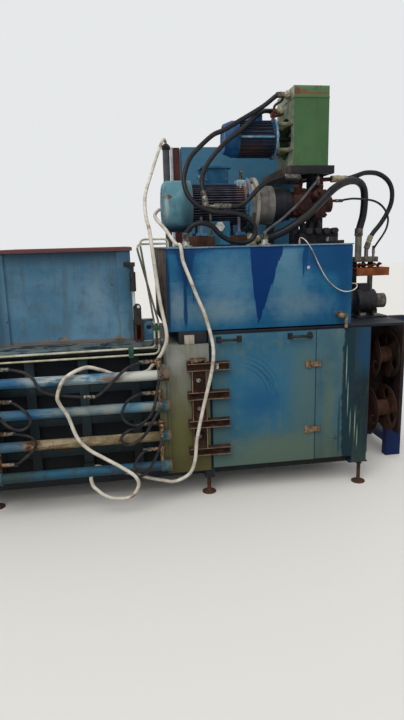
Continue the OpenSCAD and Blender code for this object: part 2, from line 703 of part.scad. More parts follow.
module motor_rails() color("#5c3a28") place() for (s = [-1, 1]) {
    block([motor_x - 20, motor_y + s * 127 - 34, tank_top],
        [bell_x + 60, motor_y + s * 127 + 34, tank_top + 8]);
    block([motor_x - 20, motor_y + s * 127 - 34, motor_z - 198],
        [bell_x + 60, motor_y + s * 127 + 34, motor_z - 190]);
    for (x = [motor_x - 20, motor_r - 40, bell_x + 52])
        block([x, motor_y + s * 127 - 30, tank_top], [x + 8, motor_y + s * 127 + 30, motor_z - 191]);
    block([motor_x - 20, motor_y + s * 127 - 34, tank_top],
        [bell_x + 60, motor_y + s * 127 - 26, motor_z - 190]);
}
module bell_housing() color("#8f8a7e") place() difference() {
    union() {
        rod_x(bell_x, bell_x + 24, motor_y, motor_z, flange_d / 2);
        rod_x(bell_x + 23, bell_x + 138, motor_y, motor_z, 122);
        rod_x(bell_x + 137, bell_x + bell_l, motor_y, motor_z, 114);
        rod_x(bell_x + 92, bell_x + 100, motor_y, motor_z, 127);
    }
    rod_x(bell_x - 1, bell_x + bell_l - 20, motor_y, motor_z, 104);
    rod_x(bell_x + bell_l - 21, bell_x + bell_l + 1, motor_y, motor_z, 80);
}
module pump() color("#6e3226") place() {
    rod_x(pump_x, pump_x + 24, motor_y, motor_z, 112);
    rod_x(bell_x + 126, pump_x + 1, motor_y, motor_z, 24);
    rod_x(pump_x + 23, pump_x + 64, motor_y, motor_z, 101);
    rod_x(pump_x + 63, pump_x + 232, motor_y, motor_z, 85);
    block([pump_x + 80, motor_y - 92, motor_z - 68], [pump_x + 200, motor_y + 92, motor_z + 58]);
    block([pump_x + 231, motor_y - 82, motor_z - 88], [pump_x + 300, motor_y + 82, motor_z + 90]);
    rod_x(pump_x + 299, pump_x + 360, motor_y, motor_z, 52);
    rod_x(pump_x + 359, pump_x + 383, motor_y - 40, motor_z + 20, 9);
    rod_z(pump_x + 150, motor_y, motor_z + 50, motor_z + 104, 33);
    rod_z(pump_x + 268, motor_y - 30, motor_z + 80, motor_z + 120, 24);
    translate([pump_x, motor_y, motor_z]) {
        pipe_run([[150, 0, 100], [150, -20, 155], [117, -75, 168], [85, -85, 168]], 13);
        between([117, -75, 168], [53, -95, 168], 19);
        pipe_run([[268, -30, 110], [268, -30, 155], [363, -24, 160]], 13);
        between([353, -24, 160], [413, -22, 162], 22);
    }
}

// Oil cooler on its stand
cooler_port = [[cooler_y + 86, cooler_z + 442], [cooler_y + 236, cooler_z + 376]];
module cooler_shroud() color("#4f7a4c") place() difference() {
    union() {
        block([cooler_x, cooler_y, cooler_z],
            [cooler_x + cooler_t, cooler_y + cooler_w, cooler_z + cooler_h]);
        block([cooler_x - 3, cooler_y - 3, cooler_z + cooler_h - 72],
              [cooler_x + cooler_t + 1, cooler_y + cooler_w + 3, cooler_z + cooler_h - 62]);
        for (p = cooler_port) {
            rod_x(cooler_x - 42, cooler_x + 1, p[0], p[1], 20);
            hex_x(cooler_x - 26, cooler_x - 6, p[0], p[1], 50);
        }
    }
    block([cooler_x + 3, cooler_y + 3, cooler_z + 3],
          [cooler_x + cooler_t + 2, cooler_y + cooler_w - 3, cooler_z + cooler_h - 3]);
    rod_x(cooler_x - 5, cooler_x + 5, fan_y, fan_z, fan_d / 2);
}
module cooler_core() color("#8a8f8c") place() {
    x0 = cooler_x + 150;
    for (z = [cooler_z + 3 + seat, cooler_z + cooler_h - 53 - seat])
        block([x0, cooler_y + 3 + seat, z], [x0 + 70, cooler_y + cooler_w - 3 - seat, z + 50]);
    for (z = [cooler_z + 66 : 26 : cooler_z + cooler_h - 60])
        block([x0, cooler_y + 12, z], [x0 + 70, cooler_y + cooler_w - 12, z + 5]);
    for (y = [cooler_y + 3 + seat, cooler_y + cooler_w - 15 - seat])
        block([x0, y, cooler_z + 4], [x0 + 70, y + 12, cooler_z + cooler_h - 4]);
}
cmot_l = cooler_x - 80;
module cooler_motor() color("#23568f") place() difference() {
    union() {
        rod_x(cmot_l - 14, cmot_l, fan_y, fan_z, cmot_d / 2 + 10);
        rod_x(cmot_l - 250, cmot_l - 13, fan_y, fan_z, cmot_d / 2 - 12);
        rod_x(cmot_l - 290, cmot_l - 249, fan_y, fan_z, cmot_d / 2 - 4);
            translate([cmot_l - 345, fan_y, fan_z]) rotate([0, 90, 0])
                cylinder(r1 = cmot_d / 2 - 26, r2 = cmot_d / 2 - 4, h = 56);
        extrude_x(cmot_l - 250, cmot_l - 30) translate([fan_y, fan_z]) for (i = [0 : 27])
            rotate(i * 360 / 28) translate([cmot_d / 2 - 15, -1.6]) square([14, 3.2]);
        for (a = [45 : 90 : 315])
            rod_x(cmot_l - 1, cooler_x - 7, fan_y + 112 * cos(a), fan_z + 112 * sin(a), 15);
        for (s = [-1, 1])
            block([cooler_x - 8, cooler_y + 8, fan_z + s * 79 - 15],
                [cooler_x - seat, cooler_y + cooler_w - 8, fan_z + s * 79 + 15]);
        block([cmot_l - 180, fan_y - 50, fan_z + cmot_d / 2 - 18],
            [cmot_l - 90, fan_y + 50, fan_z + cmot_d / 2 + 26]);
    }
    rod_x(cmot_l - 60, cmot_l + 1, fan_y, fan_z, 14 + run);
    rod_x(cmot_l - 346, cmot_l - 341, fan_y, fan_z, cmot_d / 2 - 40);
}
module cooler_fan() color("#33383a") place() {
    rod_x(cmot_l - 50, cooler_x + 80, fan_y, fan_z, 14);
    rod_x(cooler_x + 34, cooler_x + 78, fan_y, fan_z, 40);
    for (a = [0 : 60 : 300]) translate([cooler_x + 56, fan_y, fan_z]) rotate([a, 0, 0]) rotate([0, 0, 32])
        translate([-2, -28, 34]) cube([4, 56, 100]);
}
module cooler_stand() color("#2a2f36") place() {
    difference() {
        block([stand_x, stand_y, tank_top], [stand_x + 90, stand_y + 90, cooler_z - 48]);
        block([stand_x + 5, stand_y + 5, tank_top - 1], [stand_x + 85, stand_y + 85, cooler_z - 47]);
    }
    block([stand_x - 30, stand_y - 3, tank_top], [stand_x + 98, stand_y + 120, tank_top + 10]);
    for (y = [cooler_y - 10, cooler_y + cooler_w - 40])
        block([cooler_x - 30, y, cooler_z - 50], [cooler_x + cooler_t + 40, y + 50, cooler_z]);
    for (x = [cooler_x - 30, stand_x, cooler_x + cooler_t + 30])
        block([x, cooler_y - 9, cooler_z - 49], [x + 10, 1010, cooler_z - 1]);
    block([cooler_x - 30, 1000, cooler_z - 50], [cooler_x + cooler_t + 40, 1010, cooler_z]);
    block([cooler_x, 1000, tank_top], [cooler_x + 60, 1010, cooler_z - 49]);
    rod_z(1338, 365, 2000, cooler_z - 49, 10);
}
module valve_block() color("#2c2a28") place() {
    block([1400, 150, tank_top], [1440, 330, tank_top + 20]);
    block([1180, 250, tank_top], [1440, 350, tank_top + 66]);
    for (x = [1210 : 58 : 1400]) {
        block([x, 262, tank_top + 65], [x + 44, 338, tank_top + 96]);
        rod_y(x + 22, 206, 263, tank_top + 80, 19);
        rod_y(x + 22, 337, 392, tank_top + 80, 19);
    }
    block([1185, 400, tank_top], [1420, 490, tank_top + 88]);
    for (x = [1212 : 54 : 1400]) {
        rod_z(x, 445, tank_top + 87, tank_top + 136, 21);
        hex_z(x, 445, tank_top + 135, tank_top + 149, 24);
        rod_y(x, 372, 401, tank_top + 48, 15);
    }
}
module aux_pump() color("#26292a") place() {
    z = cab_top + deck_t;
    block([cab_r + 30, 290, z], [cab_r + 250, 420, z + 12]);
    rod_x(cab_r + 40, cab_r + 170, 355, z + 110, 82);
    for (x = [cab_r + 50, cab_r + 150]) block([x, 300, z + 11], [x + 12, 410, z + 90]);
    rod_x(cab_r + 169, cab_r + 250, 355, z + 110, 50);
    block([cab_r + 60, 330, z + 185], [cab_r + 140, 400, z + 230]);
    block([1640, 425, 1440], [1810, 525, 1475]);
    for (x = [1652, 1772]) block([x, 478, z], [x + 28, 506, 1441]);
    block([1650, 412, 1392], [1890, 540, 1400]);
    block([1650, 412, 1345], [1890, 420, 1393]);
    rod_z(1690, 490, 1474, 1620, 23);
    rod_z(1732, 450, 1474, 1535, 14);
    between([1732, 450, 1531], [1745, 450, 1570], 20);
    rod_z(1785, 450, 1474, 1500, 9);
}

// Rigid pressure lines along the top chord and up to the tank
module hard_pipes() color("#b9b08e") place() {
    union_z = chord_z + 40;
    joint_z = chord_z + 139;
    bend_z = joint_z + 22;
    for (q = [[198, chord_z + 7, -6, 43, 60], [222, chord_z - 30, 12, 17, 90]])
        let(top = tank_top + q[3], x = q[0]) {
            pipe_run([[x_l + 60, pipe_y, q[1]], [x, pipe_y, q[1]], [x, pipe_y, union_z]], pipe_r);
            hex_z(x, pipe_y, union_z - 18, union_z, union_af);
            hex_z(x, pipe_y, union_z + seat, union_z + 18, union_af);
            rod_z(x, pipe_y, union_z + seat, joint_z, pipe_r);
            hex_z(x, pipe_y, joint_z + seat, joint_z + 12, union_af);
            pipe_run([[x, pipe_y, joint_z + seat], [x, pipe_y, bend_z],
                [hop_r + 56 - q[2] * 1.2, q[2], top], [tank_l0 + 20, q[4], top],
                [tank_l0 + 20, q[4], tank_top]], pipe_r);
        }
    block([191, pipe_y - 9, joint_z - 26], [229, pipe_y + 9, joint_z]);
    for (x = [x_l + 200, hop_l - 200, 52]) {
        block([x, pipe_y - 10, chord_z - 45], [x + 30, pipe_y + 10, chord_z + 21]);
        block([x, pipe_y + 9, chord_z], [x + 30, chord_y, chord_z + 21]);
    }
}
module lifting_lug() color("#2f5f85") place() difference() {
    union() {
        block([140, 12, chord_z + chord_h], [210, 32, chord_z + 130]);
        rod_y(175, 12, 32, chord_z + 130, 35);
    }
    rod_y(175, 11, 33, chord_z + 130, 15);
}

// Locking cylinder at the hopper's corner
lock_x = hop_r + 8;
lock_y = -26;
lock_stroke = 60;
lock_top = hop_top - 85;
module lock_cylinder() color("#1b1d20") place() {
    difference() {
        union() {
            rod_z(lock_x, lock_y, lock_top - 165, lock_top - 55, 17);
            rod_z(lock_x, lock_y, lock_top - 56, lock_top - 20, 9);
            block([lock_x - 16, lock_y - 12, lock_top - 24], [lock_x + 16, lock_y + 12, lock_top]);
            block([hop_r - 40, -6, lock_top - 26], [hop_r - 4, -seat, lock_top + 2]);
            block([hop_r - 30, lock_y - 5, lock_top - 20], [hop_r - 6, -5, lock_top - 4]);
        }
        rod_z(lock_x, lock_y, lock_top - 166, lock_top - 165 + lock_stroke + 30, 8 + run);
    }
    difference() {
        block([hop_r + 4, lock_y - 14, hop_z], [hop_r + 54, 50, hop_z + 100]);
        block([hop_r + 16, lock_y - 15, hop_z + 12], [hop_r + 42, 30, hop_z + 101]);
    }
}
module lock_bolt() color("#c9ccd0") place() {
    clevis_z = hop_z + 200;
    rod_z(lock_x, lock_y, clevis_z - 65, lock_top - 140, 8);
    block([lock_x - 6, lock_y - 10, clevis_z - 99], [lock_x + 40, lock_y + 10, clevis_z]);
    rod_y(lock_x + 17, lock_y - 10, lock_y + 10, clevis_z, 23);
    rod_y(lock_x + 24, lock_y - 18, lock_y - 9, clevis_z + 6, 8);
}

// Control cabinet at the back, its arms, duct and cable mast
module control_cabinet() color("#3b6d8a") place() {
    difference() {
        block([ctrl_x, ctrl_y, ctrl_z], [ctrl_x + ctrl_w, ctrl_y + ctrl_d, ctrl_z + ctrl_h]);
        block([ctrl_x + 3, ctrl_y + 3, ctrl_z + 3],
            [ctrl_x + ctrl_w - 3, ctrl_y + ctrl_d + 1, ctrl_z + ctrl_h - 3]);
    }
    block([ctrl_x + 60, ctrl_y + 2, ctrl_z + 60],
        [ctrl_x + ctrl_w - 60, ctrl_y + 28, ctrl_z + ctrl_h - 60]);
    for (r = [0 : 2], c = [0 : 6])
        block([ctrl_x + 130 + c * 92, ctrl_y + 27, ctrl_z + 250 + r * 270],
            [ctrl_x + 200 + c * 92, ctrl_y + 110, ctrl_z + 350 + r * 270]);
    for (z = [ctrl_z + 150, ctrl_z + ctrl_h - 150])
        rod_z(ctrl_x - 10, ctrl_y + ctrl_d - 2, z - 40, z + 40, 5);
    for (z = [ctrl_z + 150, ctrl_z + ctrl_h - 150])
        block([ctrl_x - 12, ctrl_y + ctrl_d - 20, z - 40], [ctrl_x, ctrl_y + ctrl_d - 5, z - 12]);
}
module control_door() color("#3b6d8a") place() {
    difference() {
        union() {
            block([ctrl_x + 1, ctrl_y + ctrl_d + seat, ctrl_z],
                [ctrl_x + ctrl_w, ctrl_y + ctrl_d + ctrl_door_t, ctrl_z + ctrl_h]);
            for (z = [ctrl_z + 150, ctrl_z + ctrl_h - 150]) {
                rod_z(ctrl_x - 10, ctrl_y + ctrl_d - 2, z - 11, z + 39, 9);
                block([ctrl_x - 14, ctrl_y + ctrl_d + 2, z - 11],
                    [ctrl_x + 20, ctrl_y + ctrl_d + 8, z + 39]);
            }
        }
        block([ctrl_x + 22, ctrl_y + ctrl_d - 1, ctrl_z + 20],
            [ctrl_x + ctrl_w - 20, ctrl_y + ctrl_d + ctrl_door_t - 3, ctrl_z + ctrl_h - 20]);
        for (z = [ctrl_z + 150, ctrl_z + ctrl_h - 150])
            rod_z(ctrl_x - 10, ctrl_y + ctrl_d - 2, z - 50, z + 50, 5 + run);
    }
    rod_y(ctrl_x + ctrl_w - 40, ctrl_y + ctrl_d + ctrl_door_t - 1, ctrl_y + ctrl_d + ctrl_door_t + 22,
        ctrl_z + ctrl_h / 2, 16);
    block([ctrl_x + ctrl_w - 46, ctrl_y + ctrl_d + ctrl_door_t + 14, ctrl_z + ctrl_h / 2 - 60],
          [ctrl_x + ctrl_w - 34, ctrl_y + ctrl_d + ctrl_door_t + 24, ctrl_z + ctrl_h / 2 + 10]);
}
mast_x = 415;
module cabinet_arms() color("#5f3026") place() {
    for (x = [portal_r + 40, leg_l - 60]) difference() {
        block([x, mach_w, cab_top - 40], [x + 60, ctrl_y + ctrl_d - 20, ctrl_z]);
        block([x + 5, mach_w - 1, cab_top - 35], [x + 55, ctrl_y + ctrl_d - 10, ctrl_z - 5]);
    }
    block([portal_r + 40, ctrl_y, cab_top - 40], [leg_l, ctrl_y + 40, cab_top]);
    block([mast_x - 28, ctrl_y + 10, cab_top - 40], [portal_r + 45, ctrl_y + 40, cab_top]);
    difference() {
        block([ctrl_x - 58, ctrl_y, cab_top - 1], [ctrl_x - 13, ctrl_y + 60, ctrl_z + ctrl_h - 4]);
        block([ctrl_x - 53, ctrl_y + 5, cab_top + 5], [ctrl_x - 18, ctrl_y + 61, ctrl_z + ctrl_h]);
    }
    rod_y(490, ctrl_y - 20, ctrl_y + 1, 1900, 14);
    rod_z(ctrl_x - 70, ctrl_y + 20, cab_top - 1, ctrl_z + ctrl_h, 11);
    difference() {
        rod_z(mast_x, ctrl_y + 28, cab_top - 1, ctrl_z + ctrl_h + 5, 26);
        rod_z(mast_x, ctrl_y + 28, cab_top + 5, ctrl_z + ctrl_h - 20, 22);
    }
}

// Wire stand with its reels
module wire_stand() color("#4a2c22") place() {
    for (z = [reel_z_up, reel_z_lo]) {
        rod_x(cab_r, stand_plate_x + 20, reel_y, z, axle_d / 2);
        rod_x(cab_r, reel_x - reel_l / 2 - 1, reel_y, z, axle_d / 2 + 8);
    }
    difference() {
        block([stand_plate_x, reel_y - 90, 240], [stand_plate_x + 12, 475, cab_top]);
        for (z = [reel_z_up, reel_z_lo])
            rod_x(stand_plate_x - 1, stand_plate_x + 13, reel_y, z, axle_d / 2);
    }
    for (y = [410, 870]) block([stand_leg_x, y, 0], [x_r, y + 60, cab_top]);
    for (y = [410, 870]) block([cab_r, y, cab_top - 50], [stand_leg_x + 1, y + 60, cab_top]);
    block([cab_r, 469, 240], [stand_plate_x + 1, 475, cab_top - 49]);
    for (z = [240, 640]) block([stand_plate_x + 11, 440, z], [stand_leg_x + 1, 468, z + 40]);
    block([stand_leg_x, 469, 100], [x_r, 871, 160]);
}
module reel(z) color("#3a3a36") place() difference() {
    union() {
        for (x = [reel_x - reel_l / 2, reel_x + reel_l / 2 - 4]) difference() {
            rod_x(x, x + 4, reel_y, z, reel_d / 2);
            for (a = [90 : 120 : 330]) rod_x(x - 1, x + 5, reel_y + 105 * cos(a), z + 105 * sin(a), 34);
        }
        rod_x(reel_x - reel_l / 2, reel_x + reel_l / 2, reel_y, z, 56);
    }
    rod_x(reel_x - reel_l, reel_x + reel_l, reel_y, z, axle_d / 2 + run);
}
module reel_upper() reel(reel_z_up);
module reel_lower() reel(reel_z_lo);

// Cords: routes in machine coordinates, each a tube swept along a smooth curve
cooler_d = 30;
suction_d = 50;
return_d = 32;
pilot_d = 14;
drain_d = 18;
side_hose_d = 18;
cable_d = 22;
wire_d = 6;
cord_sides = 8;
cooler_a = [[1125, 436, 2512], [1085, 436, 2512], [985, 432, 2440], [830, 395, 2350], [715, 360, 2285],
    [640, 330, 2250], [555, 300, 2180], [490, 270, 2115], [455, 240, 2050], [435, 215, 1975],
        [445, 185, 1900],
    [475, 165, 1850], [520, 153, 1810], [590, 150, 1782], [665, 148, 1772], [750, 150, 1765],
        [825, 152, 1732],
    [862, 152, 1675], [845, 148, 1618], [790, 142, 1594], [705, 130, 1605], [640, 120, 1640],
        [590, 113, 1690],
    [530, 110, 1714], [470, 112, 1702], [433, 118, 1665], [425, 120, 1640], [425, 120, 1609]];
cooler_b = [[1125, 586, 2446], [1095, 586, 2446], [1040, 545, 2440], [985, 475, 2415], [895, 400, 2345],
    [810, 370, 2275], [740, 360, 2225], [665, 340, 2155], [605, 320, 2085], [565, 290, 2015],
        [552, 262, 1960],
    [555, 235, 1905], [560, 215, 1860]];
pump_c = [[670, 190, 1812], [700, 190, 1812], [745, 190, 1808], [800, 195, 1828], [860, 205, 1880],
    [915, 235, 1930], [990, 275, 1970], [1065, 302, 1994], [1108, 315, 1998], [1139.6, 324.9, 1998]];
pump_h = [[1338, 365, 2000], [1338, 365, 1985], [1322, 350, 1967], [1290, 325, 1940], [1225, 290, 1875],
    [1165, 260, 1820], [1105, 240, 1772], [1045, 210, 1728], [990, 185, 1695], [950, 170, 1670],
    [930, 165, 1655], [925, 165, 1635], [925, 165, 1609]];
suction_e = [[905, 220, 1615], [945, 220, 1615], [1005, 220, 1632], [1100, 220, 1674], [1205, 220, 1742],
    [1300, 230, 1825], [1405, 260, 1915], [1515, 320, 1965], [1610, 380, 1975], [1680, 430, 1945],
    [1712, 465, 1875], [1716, 485, 1765], [1700, 490, 1690], [1690, 490, 1650], [1690, 490, 1620]];
return_f = [[1500, 398, 1992], [1560, 400, 1994], [1625, 402, 2012], [1690, 410, 2030], [1780, 420, 2025],
    [1850, 422, 1985], [1890, 430, 1925], [1895, 434, 1845], [1870, 440, 1770], [1825, 445, 1695],
    [1780, 450, 1640], [1755, 450, 1600], [1745, 450, 1570]];
pilot_g = [[1470, 380, 1850], [1500, 380, 1850], [1540, 368, 1857], [1600, 355, 1860], [1720, 350, 1845],
    [1795, 358, 1805], [1840, 370, 1740], [1842, 380, 1675], [1822, 395, 1620], [1797, 425, 1565],
    [1785, 450, 1525], [1785, 450, 1500]];
long_route = [[-680, -75, 925], [-640, -75, 925], [-595, -80, 918], [-540, -92, 902], [-497, -110, 870],
    [-470, -125, 815], [-420, -130, 785], [-370, -131, 772], [-220, -135, 752], [-160, -135, 750],
        [-115, -132, 775],
    [-55, -130, 830], [5, -122, 885], [55, -102, 912], [95, -85, 922], [125, -75, 925], [150, -75, 925]];
right_2 = [[150, -75, 735], [122, -75, 735], [85, -97, 735], [30, -127, 715], [0, -135, 675],
    [-13, -135, 630],
    [10, -135, 585], [55, -135, 562], [95, -135, 567], [145, -135, 605], [175, -135, 660], [190, -135, 730],
    [205, -133, 800], [215, -130, 850], [215, -130, 882]];
right_3 = [[150, -75, 545], [122, -75, 545], [75, -105, 540], [25, -127, 532], [-10, -135, 510],
    [-25, -137, 482],
    [-5, -138, 450], [30, -142, 445], [75, -150, 470], [120, -160, 515], [155, -163, 575], [185, -158, 622],
    [207, -142, 650], [215, -130, 672], [215, -130, 692]];
right_4 = [[150, -75, 382], [125, -75, 382], [95, -103, 372], [65, -125, 347], [45, -135, 310],
    [40, -137, 272],
    [60, -138, 245], [100, -142, 252], [140, -150, 300], [170, -160, 360], [195, -160, 415],
        [210, -148, 455],
    [215, -130, 480], [215, -130, 502]];
left_2 = [[-680, -75, 735], [-650, -75, 735], [-610, -92, 724], [-565, -120, 697], [-540, -132, 668],
    [-527, -135, 635], [-545, -137, 600], [-585, -138, 583], [-635, -142, 600], [-675, -145, 640],
    [-715, -145, 705], [-738, -140, 790], [-745, -130, 850], [-745, -130, 882]];
left_3 = [[-680, -75, 545], [-650, -75, 545], [-575, -110, 543], [-530, -127, 530], [-510, -132, 500],
    [-520, -134, 465], [-555, -132, 430], [-590, -125, 400], [-622, -98, 372], [-655, -75, 355],
        [-680, -75, 355]];
cable_1 = [[415, 1058, 2298], [415, 1058, 2325], [402, 1028, 2345], [380, 975, 2320], [345, 900, 2240],
    [290, 800, 2105], [215, 500, 1910], [195, 200, 1770], [200, 20, 1690], [205, -40, 1620],
        [220, -47, 1465],
    [240, -50, 1280], [272, -60, 1075], [248, -54, 985], [215, -40, 930], [185, -14, 890], [145, 0, 850],
    [45, 0, 838], [-40, -5, 845], [-125, -35, 885], [-210, -78, 912], [-320, -130, 868], [-365, -165, 780],
    [-355, -155, 720], [-320, -138, 650], [-275, -135, 510], [-210, -135, 430], [-130, -138, 375],
        [-30, -160, 315],
    [45, -167, 255], [60, -165, 190], [5, -145, 118], [-110, -130, 118], [-195, -125, 185],
        [-213, -122, 225],
    [-215, -122, 255]];
cable_2 = [[490, 1010, 1900], [490, 970, 1900], [430, 840, 1870], [330, 720, 1835], [285, 600, 1800],
    [270, 450, 1770], [275, 310, 1740], [315, 240, 1685], [350, 160, 1620], [366, 80, 1592],
        [375, 15, 1590],
    [380, -8, 1560], [388, -14, 1495], [425, -30, 1390], [465, -35, 1280], [505, -42, 1180],
        [540, -62, 1030],
    [543, -87, 945], [525, -88, 825], [470, -88, 610], [430, -88, 425], [415, -80, 290], [380, -50, 190],
    [290, -38, 145], [210, -25, 155], [135, -15, 172], [75, -8, 192], [5, 0, 212], [-90, 25, 228],
    [-175, 60, 245], [-202, 60, 245]];
wire_3 = [[1120, 75, 1600], [1120, 75, 1609], [1127, 60, 1614], [1140, 38, 1602], [1155, 17, 1578],
    [1185, 14, 1530], [1230, 14, 1440], [1280, 14, 1360], [1340, 14, 1305], [1395, 14, 1282],
        [1440, 12, 1285],
    [1470, 16, 1300], [1486, 38, 1316], [1482, 64, 1325], [1472, 70, 1325], [1462, 70, 1325]];

function smooth_at(a, b, c, d, t) = 0.5 * (2 * b + (c - a) * t + (2 * a - 5 * b + 4 * c - d) * t * t
    + (3 * b - a - 3 * c + d) * t * t * t);
function smooth_path(p, n) = let(m = len(p) - 1) [for (i = [0 : m - 1], k = [0 : n - 1])
    smooth_at(p[max(i - 1, 0)], p[i], p[i + 1], p[min(i + 2, m)], k / n), p[m]];
function unit(v) = v / norm(v);
function directions(p, q) = let(m = len(q) - 1) [for (i = [0 : m])
    i == 0 ? unit(p[1] - p[0]) : i == m ? unit(p[len(p) - 1] - p[len(p) - 2]) : unit(q[i + 1] - q[i - 1])];
function carried(t, u, i) = i == len(t) ? [] : let(w = unit(u - (u * t[i]) * t[i]))
    concat([w], carried(t, w, i + 1));
module cord(p, d, n) {
    q = smooth_path(p, n);
    t = directions(p, q);
    u = carried(t, abs(t[0][1]) > 0.9 ? [1, 0, 0] : [0, 1, 0], 0);
    s = cord_sides;
    m = len(q) - 1;
    polyhedron([for (i = [0 : m], k = [0 : s - 1])
            q[i] + d / 2 * (cos(k * 360 / s) * u[i] + sin(k * 360 / s) * cross(t[i], u[i]))],
        concat([[for (k = [0 : s - 1]) k], [for (k = [s - 1 : -1 : 0]) m * s + k]],
            [for (i = [0 : m - 1], k = [0 : s - 1])
                [i * s + k, (i + 1) * s + k, (i + 1) * s + (k + 1) % s, i * s + (k + 1) % s]]));
}
module cooler_hoses() color("#1c1c1c") place() {
    cord(cooler_a, cooler_d, 2);
    cord(cooler_b, cooler_d, 2);
}
module pump_hoses() color("#1c1c1c") place() {
    cord(pump_c, cooler_d, 2);
    cord(pump_h, drain_d, 3);
}
module return_hoses() color("#1c1c1c") place() {
    cord(suction_e, suction_d, 2);
    cord(return_f, return_d, 2);
    cord(pilot_g, pilot_d, 3);
}
module long_hose() color("#1c1c1c") place() cord(long_route, side_hose_d, 2);
module right_loops() color("#1c1c1c") place() {
    cord(right_2, side_hose_d, 2);
    cord(right_3, side_hose_d, 2);
    cord(right_4, side_hose_d, 2);
}
module left_loops() color("#1c1c1c") place() {
    cord(left_2, side_hose_d, 2);
    cord(left_3, side_hose_d, 2);
}
module white_cables() color("#d9d6c8") place() {
    cord(cable_1, cable_d, 2);
    cord(cable_2, cable_d, 2);
    cord(wire_3, wire_d, 3);
}

channel_shell();
channel_ribs();
base_frame();
levelling_feet();
top_chords();
hopper();
portal_frame();
guide_rack();
guide_roller();
cabinet_frame();
front_panel();
side_panels();
deck();
door();
door_hardware();
latch_upper();
latch_lower();
anchor_beam();
tank();
tank_lid();
tank_supports();
tank_fittings();
drain_tap();
drain_lever();
motor_frame();
motor_cowl();
motor_box();
motor_rails();
motor_rotor();
bell_housing();
pump();
cooler_shroud();
cooler_core();
cooler_motor();
cooler_fan();
cooler_stand();
valve_block();
aux_pump();
hard_pipes();
lifting_lug();
lock_cylinder();
lock_bolt();
ram();
main_barrel();
main_rod();
side_barrels();
side_carriage();
control_cabinet();
control_door();
cabinet_arms();
wire_stand();
reel_upper();
reel_lower();
cooler_hoses();
pump_hoses();
return_hoses();
long_hose();
right_loops();
left_loops();
white_cables();
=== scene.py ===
import json
import math
import bpy
from mathutils import Matrix, Vector

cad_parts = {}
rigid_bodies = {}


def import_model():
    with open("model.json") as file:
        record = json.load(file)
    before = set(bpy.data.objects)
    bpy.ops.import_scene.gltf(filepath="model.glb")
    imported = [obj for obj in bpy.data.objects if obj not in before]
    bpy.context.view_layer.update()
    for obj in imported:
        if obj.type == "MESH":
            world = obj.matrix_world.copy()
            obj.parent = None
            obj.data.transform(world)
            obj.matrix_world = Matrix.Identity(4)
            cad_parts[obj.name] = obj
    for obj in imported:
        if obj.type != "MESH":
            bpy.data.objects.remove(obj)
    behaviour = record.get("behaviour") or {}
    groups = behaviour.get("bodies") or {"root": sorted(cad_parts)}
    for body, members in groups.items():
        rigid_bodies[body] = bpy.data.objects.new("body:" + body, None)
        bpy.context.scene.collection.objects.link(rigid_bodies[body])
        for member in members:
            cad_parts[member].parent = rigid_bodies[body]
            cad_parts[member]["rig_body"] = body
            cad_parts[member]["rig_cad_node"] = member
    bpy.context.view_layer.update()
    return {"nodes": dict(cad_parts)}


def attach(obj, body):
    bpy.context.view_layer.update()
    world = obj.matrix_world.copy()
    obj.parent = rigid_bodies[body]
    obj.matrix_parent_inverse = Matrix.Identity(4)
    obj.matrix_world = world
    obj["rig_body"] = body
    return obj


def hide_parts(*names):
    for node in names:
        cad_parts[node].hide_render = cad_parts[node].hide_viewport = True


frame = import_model()
nodes = frame["nodes"]

# The press is laid out in millimetres from its own corner; the model's origin is the middle of its footprint
ORIGIN = Vector((145.0, 616.75, 0.0))
# Axes, bolt circles and rows that several pieces share, in machine millimetres
MOTOR_Y, MOTOR_Z, MOTOR_BOLTS = 420, 1830, 150
FAN_MOTOR_Y, FAN_MOTOR_Z, FAN_MOTOR_STRUTS = 535, 2260, 112
TUBES = [272 + 190 * row for row in range(4)]
REEL_Y, UPPER_REEL_Z, LOWER_REEL_Z, REEL_DRUM = 300, 805, 417, 62
# Corners this close (metres) are one; angles up to FLAT are a flat, from SHARP on an edge to round off
MERGED, FLAT, SHARP = 0.00002, math.radians(0.6), math.radians(40)
# Camera: the photographer's standing height, turned a little right and down
EYE = (-0.145, -3.84715, 1.6)
YAW, PITCH, ROLL = 0.1494, 0.2107, 0.0254
FOCAL_LENGTH, SENSOR = 27.44, 36
# Directions, seen from the front
UPWARD, NEARWARD, RIGHTWARD, LEFTWARD = (0, 0, 1), (0, -1, 0), (1, 0, 0), (-1, 0, 0)


def at(x, y, z):
    return (Vector((x, y, z)) - ORIGIN) / 1000


def linear(code):
    """An sRGB hex colour as the linear colour that shaders take."""
    parts = [int(code[i:i + 2], 16) / 255 for i in (1, 3, 5)]
    return tuple(v / 12.92 if v <= 0.04045 else ((v + 0.055) / 1.055) ** 2.4 for v in parts) + (1.0,)


def nothing_selected():
    if bpy.context.object and bpy.context.object.mode != "OBJECT":
        bpy.ops.object.mode_set(mode="OBJECT")
    bpy.ops.object.select_all(action="DESELECT")


def chosen(thing):
    nothing_selected()
    thing.select_set(True)
    bpy.context.view_layer.objects.active = thing
    return thing


def placed(name, data):
    """A new object in the scene that carries data."""
    thing = bpy.data.objects.new(name, data)
    bpy.context.scene.collection.objects.link(thing)
    return thing


def put_camera():
    ahead = Vector((math.sin(YAW) * math.cos(PITCH), math.cos(YAW) * math.cos(PITCH), -math.sin(PITCH)))
    level = Vector((math.cos(YAW), -math.sin(YAW), 0))
    below = ahead.cross(level)
    right = math.cos(ROLL) * level + math.sin(ROLL) * below
    down = -math.sin(ROLL) * level + math.cos(ROLL) * below
    lens = bpy.data.cameras.new("camera")
    lens.sensor_width = SENSOR
    lens.lens = FOCAL_LENGTH
    lens.clip_end = 200
    eye = placed("camera", lens)
    turn = Matrix((right, -down, -ahead)).transposed().to_4x4()
    eye.matrix_world = Matrix.Translation(EYE) @ turn
    bpy.context.scene.camera = eye


put_camera()


